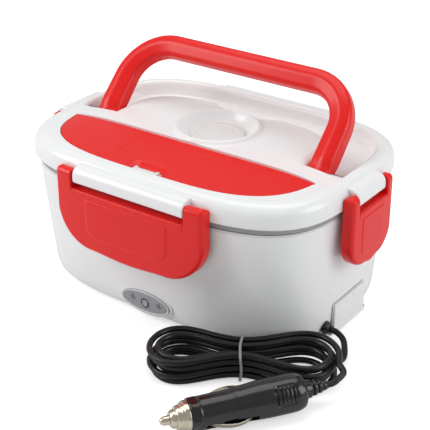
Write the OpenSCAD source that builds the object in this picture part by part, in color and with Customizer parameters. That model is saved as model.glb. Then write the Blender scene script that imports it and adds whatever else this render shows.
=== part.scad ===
// Electric lunch box with a lift-off lid, four snap latches, a folding
// handle, a spoon cover and a 12 volt lead with its plug.
// X runs along the box, the front faces -Y, Z is up, all in millimetres.

/* [Plan outline] */
// half the lid's length
lid_half_length = 110; // [100:1:120]
// half the lid's depth
lid_half_depth = 81; // [72:1:90]
// squareness of the rounded outline
plan_power = 3.6; // [2.5:0.1:6]

/* [Body] */
// height of the body's upper edge
body_top = 86; // [70:1:100]
// half the body's length at its upper edge
body_half_length = 107; // [98:1:116]
// half the body's depth at its upper edge
body_half_depth = 79; // [70:1:88]
// lean of the short walls, mm in per mm down
end_lean = 0.05; // [0:0.01:0.15]
// lean of the long walls, mm in per mm down
front_lean = 0.12; // [0:0.01:0.2]
// thickness of the body wall
body_wall = 2.4; // [1.6:0.1:4]

/* [Lid] */
// height of the lid's lower edge
lid_base = 89.5; // [88.5:0.5:92]
// height of the lid's top face
lid_top = 103; // [98:0.5:110]
// width of the rim around the handle channel
rim_width = 12; // [8:0.5:16]
// floor of the handle channel
channel_floor = 94.2; // [93:0.1:98]
// half length of the raised middle of the lid
plateau_half_length = 74.8; // [66:0.1:80]
// rear edge of the raised middle
plateau_rear = 45.8; // [40:0.1:56]

/* [Handle] */
// pivot to outer edge of the grip
handle_reach = 67; // [55:1:72]
// half width over the legs
handle_half_width = 91; // [80:1:94]
// width of the bar in the handle's plane
handle_bar = 15.5; // [10:0.5:18]
// lean behind the upright as it stands
handle_lean = 46; // [0:1:60]
// outer corner radius
handle_corner = 36; // [20:1:45]
// pivot position behind the middle and above the feet
handle_pivot = [-5, 99];

/* [Latches] */
// half width of the long latches
long_latch_half = 54.5; // [40:0.5:60]
// half width of the short latches
short_latch_half = 26; // [18:0.5:32]
// lower edge of the latches
latch_bottom = 46.5; // [40:0.5:60]
// how far the latch face stands out from the lid
latch_out = 8; // [6:0.5:10]
// thickness of the latch wall
latch_wall = 2.4; // [1.6:0.1:3]

/* [Spoon cover] */
// half length of the cover's outline
spoon_half_length = 95; // [80:1:98]
// front edge of the cover
spoon_front = 70; // [60:1:72]
// straight rear edge of the cover
spoon_rear = 25.2; // [20:0.1:32]
// thickness of the cover
spoon_thick = 2.6; // [2:0.1:4]

/* [Steam vent] */
// radius of the bowl at the lid's face
bowl_radius = 26.6; // [20:0.1:32]
// radius of the vent plug
vent_radius = 17.6; // [12:0.1:20]
// middle of the bowl behind the lid's middle
bowl_y = 6; // [0:0.5:12]

/* [Lead] */
// diameter of the cord
cord = 3.8; // [3:0.1:5]
// half length of the hank's innermost loop
hank_half = 49; // [40:1:60]
// half width of the hank's innermost loop before its waist
hank_side = 22; // [16:1:28]
// middle of the hank on the table
hank_centre = [81, -83.5];
// turn of the hank from the box's length
hank_turn = 30; // [0:1:60]
// length of the 12 volt plug without its strain relief
plug_length = 84; // [70:1:95]
// radius of the plug at its grip
plug_radius = 11; // [9:0.5:13]

/* [Hidden] */
plan_steps = 72;
round_steps = 72;
slack = 0.3;
red = [0.86, 0.16, 0.14];
white = [0.94, 0.94, 0.95];
pale = [0.86, 0.86, 0.84];
grey = [0.55, 0.56, 0.58];
dark = [0.13, 0.13, 0.14];
steel = [0.72, 0.72, 0.74];
foot_height = 3;
base_under = 2;
cover_top = 4.5;
seal_base = 87.5;
pan_base = 80;
liner_floor = 24;
tray_ledge = 75.8;
pivot_out = 3.6;
latch_pivot_z = 97;
ear_radius = 3.2;
ear_width = 16.5;
short_ear_width = 8.5;
latch_pin = 1.6;
latch_pin_reach = 4;
pin_fit = 0.05;
hinge_radius = spoon_thick / 2;
hinge_y = -spoon_rear - hinge_radius;
hinge_z = lid_top + 0.1 - hinge_radius;
well_base = 83.2;
tub_wall = 1.4;
pocket_inner = plateau_half_length;
pocket_outer = 98.5;
pocket_floor = 93.4;
handle_pin = 2.2;
handle_thick = 9;
bowl_floor = 95.6;
vent_stem = 3.5;
indicator_z = 13.4;
indicator_half = 19;
indicator_rise = 7.4;
indicator_face = 72;
inlet_half = 15;
inlet_low = 7.4;
inlet_high = 19;
inlet_z = 13.2;
housing_back = 84;
housing_face = 99.2;
flap_half = 18.5;
flap_low = 1;
flap_high = 21.5;
flap_inner = 103.4;
flap_thick = 2.2;
flap_pivot = [104.6, 2.6];
flap_pin = 0.8;
flap_pin_reach = 20.3;
lug_width = 1.6;
lug_radius = 1.8;
lead_y = -25;
lead_z = 8.6;
gland_face = 107;
layer_rise = 4.4;
loop_count = 6;
loop_steps = 24;
cord_sides = 6;
tie_lift = 0.8;
plug_axis_z = plug_radius + 0.2;
plug_entry = [135.5, -79.5, plug_axis_z];
plug_heading = 236;
relief_length = 14;
contact_turn = 60;

// ---- plan outlines and skins ----

function shape_radius(t) =
    pow(pow(abs(cos(t)), plan_power) + pow(abs(sin(t)), plan_power), -1 / plan_power);

function plan_ring(a, b, z) = [
    for (i = [0 : plan_steps - 1])
        let (t = 360 * i / plan_steps, k = shape_radius(t))
            [a * k * cos(t), b * k * sin(t), z]
];

function lid_ring(inset, z) = plan_ring(lid_half_length - inset, lid_half_depth - inset, z);

function body_length_at(z) = body_half_length - (body_top - z) * end_lean;
function body_depth_at(z) = body_half_depth - (body_top - z) * front_lean;
function body_ring(inset, z) = plan_ring(body_length_at(z) - inset, body_depth_at(z) - inset, z);

// Each profile is a list of [inset, height] that one ring is drawn for.
function lid_rings(profile) = [for (p = profile) lid_ring(p[0], p[1])];
function body_rings(profile) = [for (p = profile) body_ring(p[0], p[1])];

module skin(rings, joined = false) {
    n = len(rings[0]);
    count = len(rings);
    spans = joined ? count : count - 1;
    points = [for (r = rings) each r];
    sides = [
        for (j = [0 : spans - 1], i = [0 : n - 1])
            let (
                a = j * n + i,
                b = j * n + (i + 1) % n,
                c = ((j + 1) % count) * n + i,
                d = ((j + 1) % count) * n + (i + 1) % n
            )
                each [[a, c, d], [a, d, b]]
    ];
    first = [for (i = [0 : n - 1]) i];
    last = [for (i = [n - 1 : -1 : 0]) (count - 1) * n + i];
    polyhedron(points = points, faces = joined ? sides : concat(sides, [first, last]), convexity = 8);
}

module plan_shape(inset) {
    polygon([for (p = lid_ring(inset, 0)) [p[0], p[1]]]);
}

module plan_block(inset, low, high) {
    translate([0, 0, low]) linear_extrude(high - low) plan_shape(inset);
}

module rod_x(radius, from, to, y, z) {
    translate([from, y, z]) rotate([0, 90, 0]) cylinder(r = radius, h = to - from, $fn = 48);
}

module rod_y(radius, from, to, x, z) {
    translate([x, from, z]) rotate([-90, 0, 0]) cylinder(r = radius, h = to - from, $fn = 48);
}

// A profile drawn as [outward, height] and run across the side it faces.
module side_bar(profile, half, turn) {
    rotate([0, 0, turn])
        translate([-half, 0, 0])
            rotate([90, 0, 90])
                linear_extrude(2 * half)
                    polygon([for (p = profile) [-p[0], p[1]]]);
}

// ---- body ----

function side_reach(turn) = turn % 180 == 0 ? lid_half_depth : lid_half_length;

module catch_rib(turn, half) {
    reach = side_reach(turn);
    profile = [[-6, 63.9], [-4.4, 66.1], [0, 72.4], [0, 74], [-4.4, 78], [-6, 78]];
    side_bar([for (p = profile) [reach + p[0], p[1]]], half, turn);
}

module oval_prism(half, rise, from, to) {
    translate([0, -from, indicator_z])
        rotate([90, 0, 0])
            linear_extrude(to - from)
                polygon([for (i = [0 : 47]) [half * cos(i * 7.5), rise * sin(i * 7.5)]]);
}

// Two small ears beside the flap that carry its hinge pin.
module flap_lugs() {
    for (from = [flap_half + 0.4, -flap_half - 0.4 - lug_width]) {
        translate([98, from, flap_pivot[1] - lug_radius])
            cube([flap_pivot[0] - 98, lug_width, 2 * lug_radius]);
        rod_y(lug_radius, from, from + lug_width, flap_pivot[0], flap_pivot[1]);
    }
}

module base_shell() {
    outer = [[5.2, 2], [2.6, 3], [1.2, 5], [0.4, 8], [0, 12], [0, 48], [0, body_top]];
    inner = [[body_wall, body_top], [body_wall, 12], [3.4, 6], [5.8, cover_top]];
    color(white) difference() {
        union() {
            skin(body_rings(concat(outer, inner, [[7.4, base_under]])), joined = true);
            catch_rib(0, 26);
            catch_rib(180, 26);
            catch_rib(90, 11);
            catch_rib(270, 11);
            oval_prism(indicator_half + 1.6, indicator_rise + 1.4, 66.6, indicator_face - 0.7);
            flap_lugs();
        }
        oval_prism(indicator_half, indicator_rise, indicator_face - 1.6, indicator_face + 2);
        translate([0, -60, indicator_z - 0.6]) rotate([90, 0, 0]) cylinder(r = 2.4, h = 14, $fn = 36);
        translate([96, -inlet_half, inlet_low])
            cube([12, 2 * inlet_half, inlet_high - inlet_low]);
        translate([flap_inner - 0.4, -flap_half - 0.4, -1])
            cube([6, 2 * flap_half + 0.8, flap_high + 1.4]);
        rod_x(3.3, 92, 108, lead_y, lead_z);
        rod_y(flap_pin, -flap_pin_reach, flap_pin_reach, flap_pivot[0], flap_pivot[1]);
    }
}

foot_places = [for (x = [-74, 74], y = [-42, 42]) [x, y]];
screw_places = [for (x = [-58, 58], y = [-48, 48]) [x, y]];

module bottom_cover() {
    color(white) difference() {
        skin(body_rings([[7.6, base_under], [7.6, 3.2], [6.0, cover_top - 0.1]]));
        for (p = foot_places) translate([p[0], p[1], 0]) cylinder(r = 7.05, h = 3, $fn = 48);
        for (p = screw_places) translate([p[0], p[1], 0]) cylinder(r = 1.65, h = 8, $fn = 36);
        for (p = screw_places) translate([p[0], p[1], 0]) cylinder(r = 3.4, h = 3.1, $fn = 36);
        for (i = [-4 : 4]) translate([i * 7 - 1, -9, 0]) cube([2, 18, 8]);
    }
}

module rubber_feet() {
    color(dark) for (p = foot_places)
        translate([p[0], p[1], 0]) cylinder(r1 = 6.2, r2 = 7, h = foot_height, $fn = 48);
}

module bottom_screws() {
    color(steel) for (p = screw_places) translate([p[0], p[1], 0]) {
        translate([0, 0, 2.1]) cylinder(r = 3.2, h = 1, $fn = 36);
        translate([0, 0, 2.5]) cylinder(r = 1.6, h = 9, $fn = 36);
    }
}

module inner_liner() {
    outer = [[14.4, liner_floor], [10.6, 26.2], [7, 74.4], [4, 75], [4, body_top]];
    flange = [[0.4, body_top], [0.4, body_top + 1.2], [5.6, body_top + 1.2]];
    inner = [[5.6, tray_ledge], [8.6, tray_ledge], [12.2, 27.4], [16, liner_floor + 1.6]];
    color(pale) skin(body_rings(concat(outer, flange, inner)));
}

module heating_plate() {
    color(steel) translate([0, 0, 21.6])
        linear_extrude(liner_floor - 21.6) polygon([for (p = plan_ring(62, 40, 0)) [p[0], p[1]]]);
}

module ptc_heater() {
    color(grey) translate([-32, -13, 15.6]) cube([64, 26, 6]);
}

module heater_clamp() {
    color(steel) difference() {
        translate([-44, -8, 14.2]) cube([88, 16, 7.4]);
        translate([-32.2, -9, 15.6]) cube([64.4, 18, 8]);
        for (x = [-38, 38]) translate([x, 0, 0]) cylinder(r = 1.6, h = 30, $fn = 36);
    }
}

module thermal_fuse() {
    color(pale) {
        rod_x(2.6, -12, 12, 0, 11.6);
        rod_x(0.5, -24, 24, 0, 11.6);
    }
}

module indicator_panel() {
    color(grey) difference() {
        oval_prism(indicator_half - 0.05, indicator_rise - 0.05, indicator_face - 1.6, indicator_face);
        translate([0, -60, indicator_z - 0.6]) rotate([90, 0, 0]) cylinder(r = 2.05, h = 14, $fn = 36);
    }
}

module lamp_lens() {
    color(pale) translate([0, -66.2, indicator_z - 0.6])
        rotate([90, 0, 0]) cylinder(r = 2, h = indicator_face + 0.5 - 66.2, $fn = 36);
}

module led_board() {
    color([0.1, 0.35, 0.2]) translate([-11, -66.2, indicator_z - 6]) cube([22, 1.6, 11]);
}

module inlet_housing() {
    wall = 1.2;
    depth = housing_face - housing_back;
    color(dark) difference() {
        translate([housing_back, -inlet_half - wall, inlet_low - wall])
            cube([depth, 2 * (inlet_half + wall), inlet_high - inlet_low + 2 * wall]);
        translate([housing_back + wall, -inlet_half, inlet_low])
            cube([depth, 2 * inlet_half, inlet_high - inlet_low]);
        rod_x(4.55, housing_back - 1, housing_back + 3, 0, inlet_z);
    }
}

module dc_inlet() {
    color(steel) difference() {
        union() {
            rod_x(4.5, 74, 92, 0, inlet_z);
            rod_x(5.4, 73, housing_back, 0, inlet_z);
        }
        rod_x(3.2, 78, 93, 0, inlet_z);
    }
    color(steel) rod_x(0.9, 76, 90, 0, inlet_z);
}

module inlet_cover() {
    color(white) difference() {
        union() {
            translate([flap_inner, -flap_half, flap_low + 1.6])
                cube([flap_thick, 2 * flap_half, flap_high - flap_low - 1.6]);
            rod_y(1.6, -flap_half, flap_half, flap_pivot[0], flap_pivot[1]);
        }
        rod_y(flap_pin + pin_fit, -flap_half - 1, flap_half + 1, flap_pivot[0], flap_pivot[1]);
        translate([flap_inner + 1.2, -4.5, flap_high - 1.6]) cube([3, 9, 3]);
    }
}

module inlet_cover_pin() {
    color(steel) rod_y(flap_pin, -flap_pin_reach, flap_pin_reach, flap_pivot[0], flap_pivot[1]);
}

// ---- lid ----

module spoon_outline(grow, rear) {
    half = spoon_half_length + grow;
    front = spoon_front + grow;
    intersection() {
        polygon([for (p = plan_ring(half, front, 0)) [p[0], p[1]]]);
        translate([-120, -120]) square([240, 120 - rear]);
    }
}

module lid_tab(turn, half) {
    reach = side_reach(turn);
    arc_low = [for (a = [0 : 22.5 : 90]) [reach + 1.6 + 2 * sin(a), 92.8 - 2 * cos(a)]];
    arc_high = [for (a = [0 : 22.5 : 90]) [reach + 0.1 + 3.5 * cos(a), 98.4 + 3.4 * sin(a)]];
    side_bar(concat([[reach - 3, 90.8]], arc_low, arc_high, [[reach - 3, 101.8]]), half, turn);
}

module tab_bores(turn, half) {
    rotate([0, 0, turn]) for (s = [-1, 1])
        rod_x(latch_pin + pin_fit, s * half - 4.4, s * half + 4.4,
            -side_reach(turn) - pivot_out, latch_pivot_z);
}

long_tab_half = long_latch_half - ear_width - 0.5;
short_tab_half = short_latch_half - short_ear_width - 0.5;
latch_sides = [[0, long_tab_half], [180, long_tab_half], [90, short_tab_half], [270, short_tab_half]];

module handle_channel() {
    walls = [[rim_width + 2.5, channel_floor], [rim_width + 0.6, channel_floor + 1.2],
        [rim_width - 0.6, 98], [rim_width - 1.2, 101.5], [rim_width - 2.6, lid_top + 0.4]];
    plateau = [[-0.4, channel_floor - 1], [-0.3, channel_floor + 1], [0, 98],
        [1.4, 101], [4.5, 102.6], [8, lid_top + 1]];
    front_edge = handle_pivot[0] - handle_thick / 2 - 1;
    difference() {
        skin(lid_rings(walls));
        skin([for (p = plateau) plan_ring(plateau_half_length - p[0], plateau_rear - p[0], p[1])]);
        translate([-150, -150, 80]) cube([300, 150 + front_edge, 40]);
    }
}

module handle_pocket() {
    front_edge = handle_pivot[0] - handle_thick / 2 - 1;
    for (s = [0, 1]) mirror([s, 0, 0])
        translate([pocket_inner, front_edge, pocket_floor])
            cube([pocket_outer - pocket_inner, 20, 20]);
}

module bowl_cut() {
    translate([0, bowl_y, 0]) rotate_extrude($fn = round_steps)
        polygon([[0, bowl_floor], [18.4, bowl_floor], [20.4, 96.4], [22.6, 98.6],
            [24.4, 101.2], [bowl_radius, 102.8], [29, lid_top + 0.3], [29, 110], [0, 110]]);
}

module lid_shell() {
    edge = [[0.8, lid_base], [0, lid_base + 0.8], [0, 95.5], [0.5, 98], [1.7, 100.2],
        [3.6, 101.9], [6.2, 102.8], [9.5, lid_top]];
    color(white) difference() {
        union() {
            skin(lid_rings(edge));
            for (s = latch_sides) lid_tab(s[0], s[1]);
            translate([0, 0, well_base - tub_wall]) linear_extrude(10) spoon_outline(-6.4, spoon_rear + 4);
        }
        handle_channel();
        handle_pocket();
        bowl_cut();
        translate([0, 0, hinge_z - hinge_radius - slack]) linear_extrude(10)
            spoon_outline(0.4, spoon_rear - 0.4);
        translate([0, 0, well_base]) linear_extrude(30)
            spoon_outline(-6.4 - tub_wall, spoon_rear + 4 + tub_wall);
        for (s = [-1, 1]) rod_x(0.95, s * 95 - 3, s * 95 + 3, hinge_y, hinge_z);
        for (s = latch_sides) tab_bores(s[0], s[1]);
        for (s = [-1, 1])
            rod_x(handle_pin, s * 86 - 17, s * 86 + 17, handle_pivot[0], handle_pivot[1]);
        translate([0, bowl_y, 80]) cylinder(r = vent_stem + 0.1, h = 20, $fn = 48);
    }
}

module lid_liner() {
    profile = [[15.4, pan_base], [13.8, 80.7], [12.8, 82.4], [12, lid_base], [13.6, lid_base],
        [14.4, 83.2], [16.6, pan_base + 1.6]];
    color(white) difference() {
        skin(lid_rings(profile));
        translate([0, bowl_y, 70]) cylinder(r = 2.5, h = 20, $fn = 36);
    }
}

module lid_seal() {
    color(grey) skin(lid_rings([[3, seal_base], [2.5, seal_base + 0.4], [2.5, lid_base],
        [11.5, lid_base], [11.5, 88.6], [10, seal_base]]), joined = true);
}

module vent_plug() {
    color(pale) translate([0, bowl_y, 0]) rotate_extrude($fn = round_steps)
        polygon([[0, 88.8], [2.9, 88.8], [vent_stem, 89.6], [vent_stem, bowl_floor + slack],
            [vent_radius, bowl_floor + slack], [vent_radius, 96.6], [16.6, 97.2], [13.4, 97.2],
            [12.8, 96.7], [0, 97]]);
}

module spoon_cover() {
    low = hinge_z - hinge_radius;
    color(red) difference() {
        union() {
            translate([0, 0, low]) linear_extrude(spoon_thick) spoon_outline(0, -hinge_y);
            rod_x(hinge_radius, -93.4, 93.4, hinge_y, hinge_z);
            for (s = [-1, 1]) rod_x(0.9, s * 94.4 - 3, s * 94.4 + 3, hinge_y, hinge_z);
        }
        translate([0, -spoon_front - 1, low - 1]) linear_extrude(6)
            polygon([[-12.5, -2], [12.5, -2], [10.5, 5.5], [9, 6.2], [-9, 6.2], [-10.5, 5.5]]);
        translate([-26, -58, lid_top - 0.3]) cube([52, 25, 2]);
    }
}

module spoon_catch() {
    color(pale) difference() {
        translate([-9, -spoon_front + 0.2, hinge_z - hinge_radius - slack]) cube([18, 4.2, 2.6]);
        translate([-7, -spoon_front + 3, hinge_z - 0.6]) cube([14, 3, 3]);
    }
}

// ---- latches ----

// The face drawn as [across, height], with the lower corners well rounded.
module latch_face(half, inset, top) {
    radius = half > 40 ? 27 : 15;
    low = latch_bottom + inset;
    side = half - inset;
    arc = [for (a = [0 : 9 : 90]) [side - radius + radius * cos(a), low + radius + 1.5 - radius * sin(a)]];
    crown = [[side * 0.3, low + 0.2], [0, low]];
    right_half = concat([[side, top]], arc, crown);
    left_half = [for (i = [len(right_half) - 2 : -1 : 0]) [-right_half[i][0], right_half[i][1]]];
    polygon(concat(right_half, left_half));
}

module latch_block(half, inset, top) {
    rotate([90, 0, 0]) linear_extrude(150) latch_face(half, inset, top);
}

module latch(turn, half, ear, rib) {
    reach = side_reach(turn);
    pivot = reach + pivot_out;
    hook = [[-1.2, 65.8], [-1.2, 70], [0.2, 71.9], [2.6, 71.9], [6, 69.4], [6, 65.8]];
    color(red) {
        difference() {
            intersection() {
                plan_block(-latch_out, latch_bottom - 1, latch_pivot_z);
                rotate([0, 0, turn]) latch_block(half, 0, latch_pivot_z);
            }
            plan_block(1.2, latch_bottom - 2, lid_base - slack);
            plan_block(-0.7, lid_base - slack - 1, 110);
            rotate([0, 0, turn]) translate([ear - half, -160, lid_base - slack])
                cube([2 * (half - ear), 100, 20]);
            intersection() {
                plan_block(-latch_out + latch_wall, latch_bottom - 2, 86.8);
                rotate([0, 0, turn]) latch_block(half, latch_wall, 86.8);
            }
        }
        intersection() {
            side_bar([for (p = hook) [reach + p[0], p[1]]], rib, turn);
            plan_block(-latch_out + 1, 60, 80);
        }
        rotate([0, 0, turn]) for (s = [0, 1]) mirror([s, 0, 0]) {
            rod_x(ear_radius, half - ear, half - 0.6, -pivot, latch_pivot_z);
            rod_x(latch_pin, half - ear - latch_pin_reach - 0.5, half - ear + 1, -pivot, latch_pivot_z);
        }
        intersection() {
            plan_block(-latch_out - 0.5, 50, 90);
            rotate([0, 0, turn]) translate([0, -reach - 4, 0]) rotate([90, 0, 0])
                linear_extrude(20) latch_badge(half);
        }
    }
}

// The raised field on the latch's face.
module latch_badge(half) {
    side = half * 0.57;
    radius = half > 40 ? 9 : 5;
    corner = [for (a = [0 : 15 : 90]) [side - radius + radius * cos(a), 58 + radius - radius * sin(a)]];
    mirrored = [for (i = [len(corner) - 1 : -1 : 0]) [-corner[i][0], corner[i][1]]];
    polygon(concat([[side, 81]], corner, mirrored, [[-side, 81]]));
}

module front_latch() { latch(0, long_latch_half, ear_width, 24); }
module rear_latch() { latch(180, long_latch_half, ear_width, 24); }
module right_latch() { latch(90, short_latch_half, short_ear_width, 10); }
module left_latch() { latch(270, short_latch_half, short_ear_width, 10); }

// ---- handle ----

// Bar section as [outward in the handle's plane, toward the front].
handle_section = [[6.8, -4.5], [-6.8, -4.5], [-7.75, -3.6], [-7.75, 1.8], [-7.1, 2.5],
    [0.4, 4.5], [7.1, 3.1], [7.75, 2.3], [7.75, -3.6]];
leg_x = handle_half_width - handle_bar / 2;
grip_z = handle_reach - handle_bar / 2;
bend = handle_corner - handle_bar / 2;

// Middle line as [x, height, outward angle]: leg, bend, bend, leg.
handle_line = concat(
    [[leg_x, 0, 0]],
    [for (a = [0 : 9 : 90]) [leg_x - bend + bend * cos(a), grip_z - bend + bend * sin(a), a]],
    [for (a = [90 : 9 : 180]) [bend - leg_x + bend * cos(a), grip_z - bend + bend * sin(a), a]],
    [[-leg_x, 0, 180]]
);

module handle() {
    rings = [for (p = handle_line)
        [for (s = handle_section) [p[0] + s[0] * cos(p[2]), -s[1], p[1] + s[0] * sin(p[2])]]];
    color(red) translate([0, handle_pivot[0], handle_pivot[1]]) rotate([-handle_lean, 0, 0])
        difference() {
            union() {
                skin(rings);
                for (s = [-1, 1]) rod_x(handle_thick / 2, s * leg_x - handle_bar / 2 + 0.3,
                    s * leg_x + handle_bar / 2 - 0.3, 0, 0);
            }
            for (s = [-1, 1]) rod_x(handle_pin + pin_fit, s * leg_x - 10, s * leg_x + 10, 0, 0);
        }
}

module handle_pins() {
    color(steel) for (s = [-1, 1])
        rod_x(handle_pin, s * 86 - 16, s * 86 + 16, handle_pivot[0], handle_pivot[1]);
}

// ---- trays ----

module food_tray() {
    profile = [[16.4, 26.3], [13.6, 28.4], [9.8, tray_ledge + slack], [6.4, tray_ledge + slack],
        [6.4, 77.5], [11.2, 77.5], [15, 29.6], [17.6, 27.8]];
    color(pale) skin(body_rings(profile));
}

module side_tray() {
    profile = [[25, 53, 52], [27, 55.5, 54.5], [28.6, 58.6, 77.5], [32, 66, 77.5],
        [32, 66, 78.7], [27.2, 57.2, 78.7], [25.6, 54, 55.4], [23.6, 51.4, 53.4]];
    color(white) translate([56, 0, 0])
        skin([for (p = profile) plan_ring(p[0], p[1], p[2])]);
}

// ---- lead ----

// Along the hank three turns make two layers: in, climb, out, climb.
// The last half turn goes on outward, so both ends lie outside.
function hank_spread(t) =
    let (u = t - 3 * floor(t / 3))
        t > 4.5 ? t - 4.5 : u < 1 ? 1 - u : u < 1.5 ? 0 : u < 2.5 ? u - 1.5 : 1;
function ease(s) = s * s * (3 - 2 * s);
function hank_layer(t) =
    let (u = t - 3 * floor(t / 3), base = 2 * floor(t / 3))
        t > 4.5 ? 3
        : base + (u < 1 ? 0 : u < 1.5 ? ease(2 * u - 2) : u < 2.5 ? 1 : 1 + ease(2 * u - 5));

spread_end = 5;
spread_lobe = 10;
spread_waist = 6.3;
waist_side = 1.8;
hank_floor = cord / 2 + 0.2;

function hank_point(t) =
    let (
        a = 360 * t,
        k = hank_spread(t),
        waist = pow(sin(a), 4),
        along = (hank_half + spread_end * k) * cos(a),
        across = sin(a) * ((hank_side + spread_lobe * k) * (1 - waist)
            + (waist_side + spread_waist * k) * waist)
    )
        [
            hank_centre[0] + along * cos(hank_turn) + across * sin(hank_turn),
            hank_centre[1] + along * sin(hank_turn) - across * cos(hank_turn),
            hank_floor + layer_rise * hank_layer(t) + tie_lift * waist
        ];

function unit(v) = v / norm(v);
function cord_ring(centre, way, radius, sides) =
    let (side = unit(cross([0, 0, 1], way)), up = cross(way, side))
        [
            for (i = [0 : sides - 1])
                centre + radius * (side * cos(360 * i / sides) + up * sin(360 * i / sides))
        ];
function cord_rings(path, radius, sides) = [
    for (i = [0 : len(path) - 1])
        let (way = unit(path[min(i + 1, len(path) - 1)] - path[max(i - 1, 0)]))
            cord_ring(path[i], way, radius, sides)
];

hank_way = [sin(hank_turn), -cos(hank_turn), 0];
hank_turns = [for (i = [0 : loop_count * loop_steps]) hank_point(i / loop_steps)];
hank_start = hank_turns[0] - cord * hank_way;
hank_end = hank_turns[len(hank_turns) - 1] + cord * hank_way;
hank_path = concat([hank_start], hank_turns, [hank_end]);

// Smooth curve through the route points.
function spline_point(a, b, c, d, t) =
    0.5 * (2 * b + (c - a) * t + (2 * a - 5 * b + 4 * c - d) * t * t + (3 * b - a - 3 * c + d) * t * t * t);
function spline(route, steps) = [
    for (i = [0 : len(route) - 2], s = [0 : steps - 1])
        let (before = route[max(i - 1, 0)], after = route[min(i + 2, len(route) - 1)])
            spline_point(before, route[i], route[i + 1], after, s / steps),
    route[len(route) - 1]
];

// Each route leaves and meets its neighbours square on, by one millimetre.
box_exit = [gland_face, lead_y, lead_z];
box_route = [box_exit + [1, 0, 0], [111, -25, 8.2], [116, -26.5, 6.4], [120, -31, 4.4],
    [124, -39, 2.6], hank_start - 6 * hank_way, hank_start - hank_way];
plug_way = [cos(plug_heading), sin(plug_heading), 0];
plug_route = [hank_end + hank_way, hank_end + 5 * hank_way, [139.5, -67, 14], [139, -73, 12.2],
    plug_entry - 4 * plug_way, plug_entry - plug_way];
box_path = concat([box_exit], spline(box_route, 3), [hank_start]);
plug_path = concat([hank_end], spline(plug_route, 3), [plug_entry]);

module lead_box_run() {
    color(dark) skin(cord_rings(box_path, cord / 2, 8));
}

module lead_hank() {
    color(dark) skin(cord_rings(hank_path, cord / 2, cord_sides));
}

module lead_plug_run() {
    color(dark) skin(cord_rings(plug_path, cord / 2, 8));
}

// The hank's least gap to itself and the whole lead's length.
self_gaps = [
    for (i = [0 : len(hank_turns) - 8], j = [i + 7 : len(hank_turns) - 1])
        norm(hank_turns[i] - hank_turns[j]) - cord
];
function sum(values) = values * [for (v = values) 1];
function path_length(path) = sum([for (i = [1 : len(path) - 1]) norm(path[i] - path[i - 1])]);
echo(hank_least_gap = min(self_gaps));
echo(lead_length = path_length(box_path) + path_length(hank_path) + path_length(plug_path));

module cord_tie() {
    half = waist_side + spread_waist * 1.25 + cord / 2 + 0.5;
    low = 0.1;
    high = hank_floor + 3 * layer_rise + tie_lift + cord / 2 + 0.3;
    band = 0.7;
    corner = 3;
    color(grey) translate([hank_centre[0], hank_centre[1], 0]) rotate([0, 0, hank_turn])
        translate([-1.2, 0, 0]) rotate([90, 0, 90]) linear_extrude(2.4) difference() {
            tie_outline(half + band, low, high + band, corner + band);
            tie_outline(half, low + band, high, corner);
        }
}

module tie_outline(half, low, high, corner) {
    polygon([for (q = [0 : 3], a = [0 : 22.5 : 90])
        let (
            sx = q == 0 || q == 3 ? 1 : -1,
            sz = q < 2 ? 1 : 0
        )
            [sx * (half - corner) + corner * cos(a + 90 * q),
                (sz == 1 ? high - corner : low + corner) + corner * sin(a + 90 * q)]]);
}

module lead_gland() {
    color(dark) translate([0, lead_y, lead_z]) rotate([0, 90, 0]) rotate_extrude($fn = 48)
        polygon([[0, 93.6], [4, 93.6], [4, 95.4], [3.25, 95.4], [3.25, 102.9], [4.4, 102.9],
            [4.2, 104.2], [3.2, 104.6], [3.2, 105.4], [2.8, 105.8], [2.8, gland_face], [0, gland_face]]);
}

// ---- 12 volt plug, drawn along Z from its cord end ----

module on_plug() {
    translate(plug_entry) rotate([0, 0, plug_heading]) rotate([0, 90, 0]) children();
}

plug_nose_start = relief_length + plug_length - 16;
plug_end = relief_length + plug_length;

module plug_strain_relief() {
    color(dark) on_plug() rotate_extrude($fn = 48)
        polygon([[0, 0], [2.8, 0], [3.2, 0.8], [3.2, 2.4], [2.9, 2.8], [2.9, 3.6], [3.8, 4], [3.8, 5.8],
            [3.2, 6.2], [3.2, 7], [4.5, 7.4], [4.5, 9.4], [3.6, 9.8], [3.6, 10.6], [5.2, 11],
            [5.6, relief_length], [5.6, 17], [0, 17]]);
}

module plug_body() {
    start = relief_length;
    color(dark) on_plug() difference() {
        union() {
            rotate_extrude($fn = round_steps)
                polygon([[5.65, start], [8.4, start], [9.8, start + 1.6], [plug_radius, start + 6],
                    [plug_radius, start + 24], [10.2, start + 28], [9.4, plug_nose_start - 2],
                    [9, plug_nose_start], [6.2, plug_nose_start], [6.2, start + 26], [2.2, start + 26],
                    [2.2, 17.05], [5.65, 17.05]]);
            for (i = [0 : 5]) translate([-plug_radius - 0.05, -6, start + 7 + 2.8 * i]) cube([3, 12, 1.5]);
        }
        for (s = [0, 180]) rotate([0, 0, contact_turn + s])
            translate([5, -2.2, start + 30]) cube([8, 4.4, 30]);
    }
}

module plug_side_contacts() {
    start = relief_length + 30;
    bow = [for (i = [0 : 8]) [7.4 + 4 * sin(i * 22.5), start + 1 + 3.4 * i]];
    inner = [for (i = [8 : -1 : 0]) [6.7 + 4 * sin(i * 22.5), start + 1 + 3.4 * i]];
    color(steel) on_plug() for (s = [0, 180]) rotate([0, 0, contact_turn + s])
        translate([0, 1.8, 0]) rotate([90, 0, 0]) linear_extrude(3.6) polygon(concat(bow, inner));
}

module plug_nose() {
    s = plug_nose_start;
    color(steel) on_plug() rotate_extrude($fn = round_steps)
        polygon([[2.65, s + 0.05], [8.6, s + 0.05], [8.6, s + 3], [7.9, s + 3.4], [7.9, s + 5.4],
            [6.6, s + 7.6], [6.4, s + 9.4], [4.6, s + 11], [2.65, s + 11]]);
}

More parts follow.
